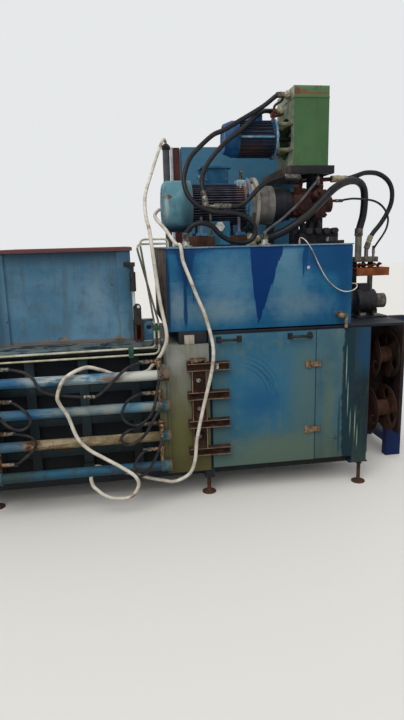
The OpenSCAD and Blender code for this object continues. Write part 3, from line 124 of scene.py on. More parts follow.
def add(tree, kind, settings=None, **properties):
    """One node with its settings: values go into sockets, and sockets of other nodes are linked."""
    node = tree.nodes.new("ShaderNode" + kind)
    for name, value in properties.items():
        setattr(node, name, value)
    for key, value in (settings or {}).items():
        if isinstance(value, bpy.types.NodeSocket):
            tree.links.new(value, node.inputs[key])
        else:
            node.inputs[key].default_value = value
    return node


def maths(tree, operation, *values):
    return add(tree, "Math", dict(enumerate(values)), operation=operation).outputs[0]


def vectors(tree, operation, *values, output=0):
    """A VectorMath node's result: output 0 is the vector, 1 the length or product."""
    return add(tree, "VectorMath", dict(enumerate(values)), operation=operation).outputs[output]


def spread(tree, value, low, high, bottom, top, kind="LINEAR"):
    return add(tree, "MapRange", {"Value": value, "From Min": low, "From Max": high, "To Min": bottom,
                                  "To Max": top}, interpolation_type=kind).outputs[0]


def step(tree, value, low, high, top=1.0):
    return spread(tree, value, low, high, 0.0, top, "SMOOTHSTEP")


def mixed(tree, share, below, above):
    below = linear(below) if isinstance(below, str) else below
    above = linear(above) if isinstance(above, str) else above
    return add(tree, "Mix", {0: share, 6: below, 7: above}, data_type="RGBA").outputs[2]


def grain(tree, place, size_mm, detail=4, stretch=(1, 1, 1), shift=0.0, rough=0.55):
    """Noise whose blotches are about size_mm across, drawn out by stretch."""
    moved = add(tree, "Mapping", {"Vector": place, "Location": (shift, shift * 0.7, -shift),
                                  "Scale": tuple(1.0 / s for s in stretch)}).outputs[0]
    return add(tree, "TexNoise", {"Vector": moved, "Scale": 1000 / size_mm, "Detail": detail,
                                  "Roughness": rough}).outputs[0]


def spot(tree, place, ripple, middle, reach, soft=0.4, ragged=0.8, share=1.0):
    """A stain or a patch of painted shade round middle (machine mm): full inside an ellipsoid, ragged, fading over soft
    of its reach.
    """
    away = vectors(tree, "SUBTRACT", place, tuple(at(*middle)))
    scaled = vectors(tree, "DIVIDE", away, tuple(r / 1000 for r in reach))
    wavy = maths(tree, "MULTIPLY_ADD", ripple, ragged, vectors(tree, "LENGTH", scaled, output=1))
    return step(tree, wavy, 1 + soft + ragged / 2, 1 - soft + ragged / 2, share)


def scrape(tree, place, ripple, fine, middle, radius, width, seen):
    """A thin arc worn by something that swings round middle: uneven, and kept near the point seen."""
    flat = vectors(tree, "MULTIPLY", vectors(tree, "SUBTRACT", place, tuple(at(*middle))), (1, 0, 1))
    wavy = maths(tree, "MULTIPLY_ADD", ripple, 0.012, vectors(tree, "LENGTH", flat, output=1))
    off = maths(tree, "COMPARE", wavy, radius / 1000 + 0.006, width / 1000)
    broken = maths(tree, "MULTIPLY", off, step(tree, fine, 0.34, 0.6))
    return maths(tree, "MULTIPLY", broken, spot(tree, place, ripple, seen, (130, 60, 130), 0.6, 0.8, 0.85))


def oil_run(tree, place, tip, half, top, lean=0.0, jag=60, share=0.97):
    """Oil run down an upright face: half wide at height top, its longest drip down to tip (x, z)."""
    parts = add(tree, "SeparateXYZ", {0: place}).outputs
    tip_x, tip_z = (tip[0] - ORIGIN.x) / 1000, tip[1] / 1000
    drips = add(tree, "TexNoise", {"W": parts[0], "Scale": 42, "Detail": 3, "Roughness": 0.6},
                noise_dimensions="1D").outputs[0]
    leaning = maths(tree, "MULTIPLY_ADD", parts[2], -lean, parts[0])
    away = maths(tree, "ABSOLUTE", maths(tree, "SUBTRACT", leaning, tip_x - lean * tip_z))
    foot = maths(tree, "MULTIPLY_ADD", away, (top - tip[1]) / half, tip_z - jag / 2000)
    edge = maths(tree, "MULTIPLY_ADD", drips, jag / 1000, foot)
    return step(tree, maths(tree, "SUBTRACT", parts[2], edge), -0.004, 0.008, share)


finish_of = {}


def new_material(name):
    material = finish_of[name] = bpy.data.materials.new(name)
    material.use_nodes = True
    material.node_tree.nodes.clear()
    return material.node_tree


def surfaced(tree, **settings):
    """The surface of a material; settings are named as its sockets are, with _ for a space."""
    sockets = {name.replace("_", " "): value for name, value in settings.items()}
    add(tree, "OutputMaterial", {"Surface": add(tree, "BsdfPrincipled", sockets).outputs[0]})


def relief(tree, strength, depth, height):
    return add(tree, "Bump", {"Strength": strength, "Distance": depth, "Height": height}).outputs[0]


def coated(name, paint, faded, grime, rust="#5a3424", fade=0.5, streaks=0.35, chips=0.3, low=None, gloss=0.5,
           spots=(), scrapes=(), runs=(), flakes=None, blotch=260, edge=0.5, bump=0.25, shine=0.18):
    """Sprayed enamel that stood outdoors: chalky fading, rain streaks, grime low down, rust where it chipped."""
    tree = new_material(name)
    place = add(tree, "TexCoord").outputs["Object"]
    broad = grain(tree, place, blotch, 5)
    ripple = grain(tree, place, 55, 5, shift=3.1)
    fine = grain(tree, place, 7, 3, shift=1.7, rough=0.7)
    rain = grain(tree, place, 34, 4, stretch=(1, 1, 9), shift=5.3)
    colour = mixed(tree, step(tree, broad, 0.36, 0.66, fade * 1.6), paint, faded)
    colour = mixed(tree, step(tree, rain, 0.50, 0.72, streaks), colour, grime)
    colour = mixed(tree, step(tree, rain, 0.44, 0.30, streaks * 0.6), colour, faded)
    if flakes:
        flake, size, stretch, bare, share = flakes
        scaly = grain(tree, place, size, 7, stretch=stretch, shift=6.4, rough=0.62)
        colour = mixed(tree, step(tree, scaly, bare, bare + 0.07, share), colour, flake)
    colour = mixed(tree, step(tree, ripple, 0.48, 0.74, 0.38), colour, grime)
    if low:
        full, clear, share = low
        height = add(tree, "SeparateXYZ", {0: place}).outputs["Z"]
        wavy = maths(tree, "MULTIPLY_ADD", ripple, 0.3, height)
        colour = mixed(tree, step(tree, wavy, clear / 1000 + 0.15, full / 1000 + 0.15, share), colour, grime)
    for tone, *mark in spots:
        colour = mixed(tree, spot(tree, place, ripple, *mark), colour, tone)
    for tone, *mark in scrapes:
        colour = mixed(tree, scrape(tree, place, ripple, fine, *mark), colour, tone)
    for tone, *mark in runs:
        colour = mixed(tree, oil_run(tree, place, *mark), colour, tone)
    rusty = mixed(tree, fine, rust, "#2f1f17")
    flaws = grain(tree, place, 90, 8, shift=9.2, rough=0.68)
    worn = step(tree, flaws, 0.70 - 0.16 * chips, 0.74 - 0.14 * chips)
    if edge:
        rounded = add(tree, "Bevel", {"Radius": 0.006}, samples=4).outputs[0]
        flat = add(tree, "NewGeometry").outputs["Normal"]
        facing = vectors(tree, "DOT_PRODUCT", rounded, flat, output=1)
        rim = step(tree, maths(tree, "MULTIPLY_ADD", ripple, 0.06, facing), 1.005, 0.93, edge)
        worn = maths(tree, "MAXIMUM", worn, rim)
    colour = mixed(tree, worn, colour, rusty)
    shade = add(tree, "HueSaturation", {"Color": colour, "Value": spread(tree, fine, 0.2, 0.8, 0.9, 1.1)}).outputs[0]
    roughness = spread(tree, maths(tree, "MAXIMUM", worn, broad), 0.3, 0.9, gloss, 0.85)
    bumps = relief(tree, bump, 0.0015, maths(tree, "MULTIPLY_ADD", worn, -0.6, fine))
    surfaced(tree, Base_Color=shade, Roughness=roughness, Normal=bumps, Specular_IOR_Level=shine)


def metal(name, dark, light, size_mm, rough=0.5, metallic=0.0, dirt="#2a2420", dirty=0.3, bump=0.15):
    """Bare or plated metal, or plastic: two tones of its own, dirt in patches, roughness that follows them."""
    tree = new_material(name)
    place = add(tree, "TexCoord").outputs["Object"]
    tone = grain(tree, place, size_mm, 5)
    ripple = grain(tree, place, size_mm * 2.2, 5, shift=2.3)
    fine = grain(tree, place, 4, 3, shift=4.1, rough=0.7)
    colour = mixed(tree, step(tree, tone, 0.34, 0.66), dark, light)
    soil = step(tree, ripple, 0.62 - 0.3 * dirty, 0.78 - 0.3 * dirty, 0.9)
    colour = mixed(tree, soil, colour, dirt)
    roughness = spread(tree, soil, 0.0, 1.0, rough, min(1.0, rough + 0.35))
    surfaced(tree, Base_Color=colour, Roughness=roughness, Metallic=metallic, Normal=relief(tree, bump, 0.001, fine),
             Specular_IOR_Level=0.25)


# Outdoor enamel on the press: near-black navy in the recess, its dark navy darkened further as painted shade of the
# recess; blue-grey on its posts
coated("oily_enamel", "#0a1d26", "#132f3a", "#2c3b2f", fade=0.6, streaks=0.7, chips=0.15, low=(150, 420, 0.5),
       gloss=0.3, spots=[
    ("#123a56", (1550, 0, 930), (70, 60, 150), 0.7, 0.8, 0.9),
    ("#87a78c", (1484, -5, 420), (3, 60, 100), 0.5, 0.8, 0.7),
    ("#6f8f72", (1502, -5, 330), (4, 60, 70), 0.5, 0.8, 0.7),
    ("#0f2228", (1535, -5, 560), (8, 60, 240), 0.5, 1.0, 0.8)])
# Channel shell: near-black, painted shade of the recess behind the tubes laid over its dark navy
coated("recess_navy_and_shade", "#0d1218", "#171f27", "#100f0d", chips=0.35, low=(150, 620, 0.6), edge=0.2)
coated("rib_enamel", "#1c2a31", "#33444b", "#1b1c18", chips=0.4, low=(150, 760, 0.7))
coated("base_enamel", "#1b1f23", "#2a3033", "#221d18", fade=0.4, chips=0.5, edge=0.4)
coated("deck_enamel", "#11161d", "#1d2731", "#1b1815", chips=0.4, gloss=0.4, edge=0.3)
coated("chord_enamel", "#27445c", "#5d7480", "#3f4440", fade=0.6, chips=0.6,
       flakes=("#a3b3b5", 22, (8, 1, 1), 0.45, 0.9), blotch=110)
# Side cylinders: four lots of the same enamel, paler towards the top, brown where oil and dust hold
coated("tube_pale", "#2d6284", "#8aa2a8", "#63624f", fade=0.8, streaks=0.2, chips=0.45, gloss=0.4,
       flakes=("#a9aea6", 30, (6, 1, 1), 0.5, 0.8), blotch=120, spots=[
    ("#1a5379", (-680, -100, 842), (150, 60, 60), 0.4, 0.9, 0.9),
    ("#bcbeb3", (110, -100, 848), (150, 60, 60), 0.5, 1.0, 0.9),
    ("#6f5038", (-60, -100, 842), (60, 60, 22), 0.5, 1.6, 0.8)])
coated("tube_grey", "#5c7580", "#7f8884", "#55563f", fade=0.7, streaks=0.3, gloss=0.45,
       flakes=("#29597a", 34, (7, 1, 1), 0.52, 0.85), blotch=110, spots=[
    ("#235879", (-600, -100, 652), (130, 60, 60), 0.5, 1.0, 0.8),
    ("#3b7793", (40, -100, 655), (70, 60, 60), 0.5, 1.0, 0.7)])
coated("tube_olive", "#68583c", "#8a7c64", "#433a2c", rust="#7a4426", fade=0.7, streaks=0.3, chips=0.8, gloss=0.6,
       flakes=("#9c8f74", 26, (6, 1, 1), 0.52, 0.7), blotch=90, spots=[
    ("#28566f", (-690, -100, 462), (110, 60, 60), 0.5, 1.0, 0.85)])
coated("tube_dark", "#1e4c66", "#2f5563", "#2b2c25", rust="#5d3a26", fade=0.6, streaks=0.5, chips=0.55, gloss=0.45,
       blotch=110, spots=[
    ("#2c3c38", (-700, -100, 272), (160, 60, 60), 0.5, 1.0, 0.85),
    ("#39302a", (90, -100, 262), (120, 60, 24), 0.5, 1.4, 0.7)])
coated("cap_enamel", "#254d59", "#47686a", "#4a3a2c", rust="#6a4630", fade=0.6, streaks=0.3, chips=0.9, gloss=0.55,
       blotch=30, spots=[
    ("#6f4f3a", (270, -75, 557), (13, 80, 400), 0.3, 0.8, 0.9),
    ("#77604a", (240, -75, 842), (50, 80, 60), 0.5, 1.0, 0.8)])
metal("tee_brass", "#5c4130", "#a58b6d", 12, metallic=0.3, dirt="#35261d", dirty=0.55)
# Hopper: faded blue-grey enamel, brown at the feet of its ribs, on its ledge and on its rim, with a painted shadow
# under its rim: a dark brown line and a darker blue band
coated("hopper_enamel", "#3d667f", "#537a90", "#454a4c", fade=0.6, streaks=0.4, gloss=0.45, spots=[
    ("#6a3328", (-308, 500, 1578), (900, 900, 15), 0.3, 0.7, 0.97),
    # painted shadow under the rim: a dark brown line just below it
    ("#4b3a33", (-308, 500, 1562), (900, 900, 5), 0.6, 1.2, 0.8),
    ("#5f564e", (-308, 500, 1046), (900, 900, 17), 0.4, 0.9, 0.9),
    ("#6a5c48", (0, 20, 1064), (24, 60, 17), 0.5, 1.8, 0.85),
    ("#4a3a2c", (4, 20, 1051), (38, 60, 8), 0.4, 1.6, 0.85),
    ("#67604f", (8, 20, 1116), (5, 60, 56), 0.6, 1.6, 0.6),
    ("#6e6454", (-318, 20, 1066), (26, 60, 17), 0.5, 2.0, 0.85),
    ("#55493a", (-322, 20, 1052), (40, 60, 7), 0.4, 1.8, 0.8),
    ("#6a6050", (-436, 20, 1060), (24, 60, 12), 0.5, 2.0, 0.8),
    ("#2f4658", (-690, 20, 1300), (46, 60, 400), 0.5, 0.8, 0.6),
    # painted shadow under the rim: a darker blue band below it
    ("#33495c", (-308, 20, 1540), (520, 40, 36), 0.9, 0.9, 0.7),
    ("#7d93a1", (-120, 20, 1300), (60, 60, 150), 0.9, 1.4, 0.35)])
coated("portal_enamel", "#757770", "#80837c", "#63623a", streaks=0.5, low=(430, 970, 0.95), gloss=0.6, spots=[
    ("#4a4229", (392, 0, 185), (400, 300, 130), 0.6, 1.0, 0.6),
    ("#2f3a3f", (262, 0, 600), (9, 60, 420), 0.4, 0.8, 0.7),
    ("#9a9a94", (330, 0, 900), (40, 60, 60), 0.8, 1.4, 0.5)])
coated("cabinet_enamel", "#10273a", "#19364d", "#181d20", gloss=0.4)
coated("panel_enamel", "#365a68", "#4c6a70", "#49533f", fade=0.65, streaks=0.5, chips=0.15, low=(180, 520, 0.6),
       gloss=0.45, spots=[
    ("#0b2833", (1468, 0, 640), (80, 300, 900), 0.1, 0.5, 0.97),
    ("#1c3d48", (1374, 0, 400), (8, 60, 200), 0.4, 1.1, 0.9),
    ("#8fae96", (1417, -5, 800), (3, 60, 120), 0.5, 0.8, 0.75),
    ("#8fae96", (1431, -5, 600), (3, 60, 110), 0.5, 0.8, 0.7),
    ("#6f8f72", (1452, -5, 430), (4, 60, 90), 0.5, 0.8, 0.7),
    ("#576650", (1300, 0, 500), (34, 60, 320), 0.5, 0.9, 0.5)])
coated("door_enamel", "#285a72", "#3b6678", "#56685a", fade=0.6, streaks=0.45, chips=0.08, low=(190, 430, 0.85),
       gloss=0.42, spots=[
    ("#1f5f82", (840, 0, 680), (240, 60, 180), 0.8, 0.8, 0.7),
    ("#164f76", (850, 0, 610), (120, 60, 90), 0.8, 1.2, 0.7),
    ("#4d655f", (590, 0, 480), (60, 60, 380), 0.7, 0.9, 0.6),
    ("#50665f", (1150, 0, 560), (100, 60, 420), 0.7, 0.8, 0.6),
    ("#5a6b5c", (980, 0, 300), (300, 60, 90), 0.7, 1.2, 0.75)], scrapes=[
    ("#133b56", (690, 0, 640), 235, 5, (900, 0, 840)),
    ("#133b56", (690, 0, 640), 262, 3.5, (900, 0, 840)),
    ("#153c55", (690, 0, 640), 208, 3.5, (880, 0, 800)),
    ("#193f58", (690, 0, 640), 290, 2.5, (900, 0, 860)),
    ("#153c55", (640, 0, 560), 330, 3, (930, 0, 760))])
# Flat bar and straps left bare: brown scale, paler where hands and wire rub it
coated("rack_rust", "#271b17", "#4b382d", "#181411", rust="#6b3c2a", fade=0.7, chips=0.9, gloss=0.8, blotch=60,
       edge=0.75, bump=0.5)
coated("rack_flange", "#665445", "#8b7764", "#3c2b22", rust="#74452f", fade=0.7, streaks=0.2, chips=0.7, gloss=0.75,
       blotch=50, edge=0.6, bump=0.5)
coated("latch_rust", "#6b553e", "#84725a", "#4a3323", rust="#6f4128", fade=0.7, streaks=0.1, chips=0.9, gloss=0.75,
       blotch=30, edge=0.6, bump=0.5)
# Tank: glossy blue with hydraulic oil wiped over it, dusty haze between the runs
coated("tank_enamel", "#1b587e", "#2d6a8c", "#124a72", fade=0.6, streaks=0.3, chips=0.08, low=(1060, 1140, 0.4),
       gloss=0.3, flakes=("#4a7f98", 30, (14, 1, 1.2), 0.56, 0.3), shine=0.1, spots=[
    ("#5b8093", (654, 30, 1363), (139, 60, 150), 0.9, 1.2, 0.6),
    ("#6f8893", (600, 30, 1195), (180, 60, 62), 0.9, 1.3, 0.75),
    ("#587d8e", (1038, 30, 1340), (105, 60, 170), 0.8, 1.2, 0.65),
    ("#5f8494", (1023, 30, 1500), (90, 60, 49), 0.8, 1.2, 0.5),
    ("#748a94", (353, 30, 1230), (49, 60, 110), 0.7, 1.2, 0.65),
    ("#66808c", (1120, 30, 1210), (150, 60, 60), 0.9, 1.3, 0.6),
    ("#0a3a68", (1300, 30, 1496), (176, 60, 104), 0.4, 0.8, 0.8),
    ("#0c3f6b", (1400, 30, 1330), (44, 60, 260), 0.7, 0.8, 0.7),
    ("#083a6a", (1133, 30, 1458), (8, 60, 84), 0.3, 0.7, 0.9),
    ("#073768", (411, 30, 1562), (150, 60, 36), 0.5, 0.8, 0.85),
    ("#0b3a66", (410, 30, 1450), (56, 60, 120), 0.5, 0.9, 0.8),
    ("#06335c", (400, 30, 1290), (11, 60, 84), 0.3, 0.8, 0.9),
    ("#06335c", (399, 30, 1180), (12, 60, 84), 0.3, 0.8, 0.9),
    ("#0a385c", (449, 30, 1291), (4, 60, 46), 0.4, 0.9, 0.85),
    ("#0a385c", (462, 30, 1284), (3, 60, 34), 0.4, 0.9, 0.8),
    ("#0c2c4a", (297, 30, 1316), (13, 60, 260), 0.4, 0.8, 0.85),
    ("#0f4676", (868, 30, 1570), (700, 60, 16), 0.5, 0.9, 0.7),
    ("#c9b8c4", (1164, 30, 1436), (9, 40, 9), 0.2, 0.3, 0.95)], runs=[
    ("#002c62", (846, 1084), 112, 1580, 0.11, 150),
    ("#06335c", (404, 1330), 74, 1590, 0.02, 130, 0.8),
    ("#083a6a", (1150, 1380), 20, 1600, 0.0, 60, 0.85)])
coated("tank_end", "#54473f", "#766b65", "#33291f", rust="#5a3f31", fade=0.7, streaks=0.8, chips=0.4, gloss=0.9,
       blotch=90, shine=0.04, spots=[
    ("#8d8480", (290, 130, 1350), (8, 9, 200), 0.5, 1.2, 0.6),
    ("#7d7370", (290, 62, 1400), (8, 6, 160), 0.5, 1.2, 0.5)])
coated("rim_enamel", "#4c7797", "#7f9cae", "#33434f", fade=0.6, chips=0.35, blotch=140, spots=[
    ("#5a4036", (288, 500, 1575), (12, 700, 30), 0.5, 0.8, 0.8)])
# Blocks under the tank: cream primer
coated("support_primer", "#b3a794", "#9fa3a0", "#5b4a3b", chips=0.5, gloss=0.7, blotch=60)
# Motor: dark fins with their tips painted pale as a painted highlight, its top land washed pale blue, iron red showing
# by the flange, painted shade under it and on the right end of its cowl
coated("fin_enamel", "#23242f", "#30384a", "#191715", chips=0.35, blotch=90, spots=[
    ("#6d4a35", (822, 330, 1885), (46, 120, 60), 0.6, 1.3, 0.85)])
# Fin tips: painted pale as a painted highlight along each fin edge
coated("fin_tip_highlight", "#474b5c", "#6f7388", "#262428", fade=0.6, streaks=0.2, chips=0.35, gloss=0.45, blotch=50)
coated("motor_enamel", "#2f6486", "#5c8fae", "#3a3a38", fade=0.6, chips=0.5, gloss=0.45, blotch=60, spots=[
    ("#7a5540", (835, 330, 1930), (34, 90, 60), 0.6, 1.4, 0.85),
    # painted shade under the motor at its flange: a near-black patch on its underside
    ("#1f262b", (860, 420, 1690), (60, 200, 70), 0.7, 0.8, 0.85)])
coated("pad_rust", "#6f8fa0", "#9db0b8", "#5a4334", rust="#6a3f2a", fade=0.7, chips=1.0, gloss=0.6, blotch=40,
       bump=0.5)
coated("teal_enamel", "#2c6a86", "#3f8098", "#23424f", chips=0.2, gloss=0.4, blotch=60)
metal("plug_zinc", "#b4b9b6", "#d6d8d2", 14, rough=0.45, metallic=0.3, dirt="#7a7468")
coated("cowl_enamel", "#4d7b88", "#6b98a4", "#35555e", fade=0.6, streaks=0.3, chips=0.15, gloss=0.38, blotch=120,
       spots=[
    ("#4d3128", (341, 290, 1880), (26, 60, 18), 0.3, 1.8, 0.97),
    ("#a5b0b0", (330, 260, 1800), (12, 60, 100), 0.6, 1.2, 0.65),
    # painted shade: the right end of the cowl darker, its underside near-black
    ("#2f474e", (470, 300, 1830), (40, 200, 200), 0.7, 0.6, 0.7),
    ("#15191c", (410, 380, 1665), (160, 200, 42), 0.6, 0.8, 0.92)])
coated("box_enamel", "#1f5478", "#33708f", "#20384b", chips=0.12, gloss=0.4, blotch=90)
coated("rail_rust", "#3f2a21", "#54392d", "#241c18", rust="#74482f", fade=0.6, chips=0.8, gloss=0.85, blotch=50)
# Bell housing and pump: cream enamel over grey iron, black at the coupling, red-brown primer on the pump
coated("bell_cream", "#8f8b80", "#aaa597", "#5d5347", rust="#6b4a38", fade=0.6, streaks=0.2, chips=0.25, gloss=0.6,
       blotch=60, bump=0.4)
coated("bell_cast", "#64625e", "#7b7973", "#3f3b36", rust="#5a3f31", fade=0.6, streaks=0.2, chips=0.2, gloss=0.7,
       blotch=60, bump=0.6)
coated("pump_black", "#1c1e25", "#2a2c31", "#151412", rust="#3a2a22", streaks=0.2, blotch=60, bump=0.5)
coated("pump_cast", "#291b19", "#472822", "#15100f", rust="#613628", fade=0.6, streaks=0.4, chips=0.6, gloss=0.6,
       blotch=50, edge=0.6, bump=0.8)
# Cooler: leaf green, run with rust from its top seam, its fan side greyed by dust and painted paler to make up for the
# shade it stands in
coated("cooler_enamel", "#466a45", "#537850", "#4f5238", streaks=0.22, chips=0.1, gloss=0.45, spots=[
    ("#6a4a33", (1284, 350, 2505), (150, 60, 9), 0.3, 1.2, 0.9),
    ("#5e3a2a", (1186, 350, 2518), (24, 60, 26), 0.4, 1.8, 0.95),
    ("#6a4630", (1230, 350, 2520), (30, 60, 9), 0.4, 1.8, 0.8),
    ("#69745a", (1284, 350, 2548), (200, 60, 10), 0.6, 0.8, 0.6)])
# Fan side: dusty grey-green, made paler as painted light against the shade on that side
coated("cooler_side_painted_light", "#747f6a", "#989f8c", "#454a3c", rust="#6b452f", fade=0.7, streaks=0.3, chips=0.5, gloss=0.6,
       blotch=50, bump=0.5)
# Cooler core and fan motor: dull alloy, blue enamel gone dark with dust between the fins
metal("core_alloy", "#6d706e", "#8f9491", 20, metallic=0.8, dirt="#3c3a33", dirty=0.5)
coated("fan_motor_enamel", "#1c4a78", "#2b6494", "#182430", chips=0.15, gloss=0.35, blotch=90)
coated("fan_motor_fins", "#16202f", "#24384f", "#15171b", gloss=0.45, blotch=60, spots=[
    ("#4a3428", (900, 430, 2180), (110, 60, 26), 0.7, 1.5, 0.7)])
coated("flange_enamel", "#4f7ea0", "#9db4c0", "#33434f", fade=0.6, chips=0.4, gloss=0.45, blotch=40)
coated("strut_primer", "#6b6b52", "#8d8a70", "#3d3b2e", fade=0.6, chips=0.45, gloss=0.6, blotch=40)
metal("black_nylon", "#1a1b1c", "#26282a", 20, dirt="#3c3a36")
# Platform of the cooler, valves and auxiliary pump: blackened, oily, rust on the plates
coated("stand_enamel", "#1b1d22", "#2c2e33", "#231b18", chips=0.4, gloss=0.6, spots=[
    ("#594e45", (1110, 500, 2045), (34, 300, 40), 0.5, 0.9, 0.8)])
coated("valve_black", "#17161a", "#26242a", "#2a211c", rust="#5a3a2a", fade=0.4, chips=0.6, blotch=50)
metal("coil_black", "#121215", "#232327", 20, rough=0.45, dirt="#37302a", dirty=0.4)
coated("plate_rust", "#6b3a22", "#94552f", "#33251c", rust="#3a231a", fade=0.6, chips=0.6, gloss=0.8, blotch=60,
       bump=0.5)
metal("cast_pale", "#42423d", "#66645b", 22, metallic=0.5, dirt="#4d443a", dirty=0.5)
# Lines: grey PVC conduit, chalky painted tube, green clamps
metal("conduit_pvc", "#9da3aa", "#bcc2ca", 60, dirt="#6f6f6c", bump=0.08)
coated("line_steel", "#a9a688", "#cbc8b4", "#666a52", fade=0.6, streaks=0.3, chips=0.2, gloss=0.42, blotch=80)
coated("line_olive", "#55554b", "#727166", "#45463c", fade=0.6, streaks=0.3, chips=0.25, blotch=60)
coated("clamp_green", "#1f4a3b", "#2d6350", "#24382f", chips=0.15, gloss=0.45, blotch=30)
# Rear: dusty blue enamel, red-brown duct, grey mast, scaled steel of the wire stand
coated("lug_enamel", "#33637f", "#4f7c94", "#33434a", chips=0.35, blotch=80)
coated("control_enamel", "#2f5f7b", "#406f88", "#405560", streaks=0.2, chips=0.06)
coated("arm_dust", "#4a3f38", "#675b50", "#2b2420", rust="#4f3529", fade=0.6, streaks=0.4, chips=0.5, gloss=0.75,
       blotch=70)
coated("arm_rust", "#3f2422", "#552e2a", "#251c19", rust="#3a231c", chips=0.5, gloss=0.75, blotch=90)
coated("mast_grey", "#474a4b", "#5a5f60", "#35352f", gloss=0.55, blotch=70)
coated("stand_rust", "#231d1c", "#3a2b26", "#1c1715", rust="#5a3a2a", chips=0.6, gloss=0.8, blotch=90)
coated("post_enamel", "#141b27", "#1c2a44", "#17181a", rust="#4a3024", chips=0.4, blotch=90, spots=[
    ("#14285a", (1982, 440, 120), (120, 120, 190), 0.35, 0.6, 0.8)])
coated("reel_steel", "#24221e", "#3a352e", "#33261d", rust="#5a3a28", chips=0.6, gloss=0.55, blotch=70)
# Small hardware and inner parts: black, brass, zinc, chrome and bare steel
coated("cylinder_enamel", "#3d4a52", "#53616a", "#2c2c2a")
metal("hardware_black", "#15171a", "#2a2e33", 18, rough=0.42, metallic=0.3, dirt="#3f3026", dirty=0.4)
metal("brass", "#5d5140", "#8d7d63", 14, rough=0.45, metallic=0.5, dirt="#3a3028", dirty=0.5)
metal("zinc", "#8d8f8c", "#b5b6b0", 10, rough=0.42, metallic=0.6, dirt="#5c4c3c", dirty=0.4)
metal("fitting_steel", "#504f4b", "#807d76", 9, rough=0.38, metallic=0.6, dirt="#40362b", dirty=0.55)
metal("pale_fitting", "#8d866f", "#b0a98f", 12, metallic=0.2, dirt="#6d6149", dirty=0.4)
metal("chrome", "#a9adb0", "#c9ccce", 40, rough=0.18, metallic=1.0, dirt="#6c6f70", dirty=0.2, bump=0.03)
metal("ram_steel", "#55504a", "#7a736a", 60, rough=0.45, metallic=0.8, dirt="#4a3225", dirty=0.55)
metal("rotor_steel", "#6f7273", "#8f9293", 30, rough=0.4, metallic=0.8, dirty=0.4)
coated("lever_red", "#7c2e33", "#93474e", "#4a2a2a", fade=0.4, chips=0.2, gloss=0.4, blotch=20)
metal("roller_nylon", "#c9bcc0", "#ddd2d4", 12, dirt="#8a7a70")

# Which CAD parts wear each finish
wearers = {
    "recess_navy_and_shade": "channel_shell anchor_beam", "rib_enamel": "channel_ribs", "base_enamel": "base_frame",
    "rail_rust": "levelling_feet motor_rails", "chord_enamel": "top_chords", "hopper_enamel": "hopper",
    "portal_enamel": "portal_frame", "rack_rust": "guide_rack", "roller_nylon": "guide_roller",
    "cabinet_enamel": "cabinet_frame side_panels", "panel_enamel": "front_panel", "deck_enamel": "deck",
    "door_enamel": "door", "hardware_black": "door_hardware lock_cylinder", "latch_rust": "latch_upper latch_lower",
    "tank_enamel": "tank", "rim_enamel": "tank_lid", "stand_enamel": "tank_supports cooler_stand",
    "zinc": "tank_fittings", "brass": "drain_tap", "lever_red": "drain_lever", "motor_enamel": "motor_frame",
    "cowl_enamel": "motor_cowl", "box_enamel": "motor_box", "rotor_steel": "motor_rotor",
    "bell_cast": "bell_housing", "pump_cast": "pump", "cooler_enamel": "cooler_shroud", "core_alloy": "cooler_core",
    "fan_motor_enamel": "cooler_motor", "black_nylon": "cooler_fan", "valve_black": "valve_block aux_pump",
    "line_steel": "hard_pipes", "lug_enamel": "lifting_lug", "chrome": "lock_bolt main_rod",
    "ram_steel": "ram side_carriage", "cylinder_enamel": "main_barrel", "tube_grey": "side_barrels",
    "control_enamel": "control_cabinet control_door", "arm_rust": "cabinet_arms", "stand_rust": "wire_stand",
    "reel_steel": "reel_upper reel_lower",
}
finishes = {node: finish for finish, group in wearers.items() for node in group.split()}
for node, finish in finishes.items():
    for patch in nodes[node].material_slots:
        patch.material = finish_of[finish]
    if not nodes[node].material_slots:
        nodes[node].data.materials.append(finish_of[finish])


def smoothed(piece, degrees=35):
    chosen(piece)
    bpy.ops.object.shade_smooth_by_angle(angle=math.radians(degrees))
    return piece


def applied(piece, kind, **settings):
    chosen(piece)
    modifier = piece.modifiers.new(kind.lower(), kind)
    for name, value in settings.items():
        setattr(modifier, name, value)
    bpy.ops.object.modifier_apply(modifier=modifier.name)
    return piece


def bevelled(piece, width, segments=2, **settings):
    return applied(piece, "BEVEL", width=width / 1000, segments=segments, limit_method="ANGLE", **settings)


def applied_place(piece):
    chosen(piece)
    bpy.ops.object.transform_apply(location=True, rotation=True, scale=True)
    return piece


def aimed(piece, foot, aim):
    """Stands a piece modelled up Z at the origin on foot, pointing along aim."""
    turn = Vector(aim).normalized().to_track_quat("Z", "Y").to_matrix().to_4x4()
    piece.data.transform(Matrix.Translation(at(*foot)) @ turn)
    return piece


def settled(piece, name, finish, body="frame"):
    """Names a finished piece, gives it its paint and lets it ride on its body."""
    applied_place(piece)
    piece.name = piece.data.name = name
    piece.data.materials.clear()
    piece.data.materials.append(finish_of[finish])
    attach(piece, body)
    return piece


def painted(piece, parts):
    """Gives the faces whose centre, in machine millimetres, passes a test their own finish."""
    for finish, test in parts:
        piece.data.materials.append(finish_of[finish])
        for face in piece.data.polygons:
            if test(*(face.center * 1000 + ORIGIN)):
                face.material_index = len(piece.data.materials) - 1


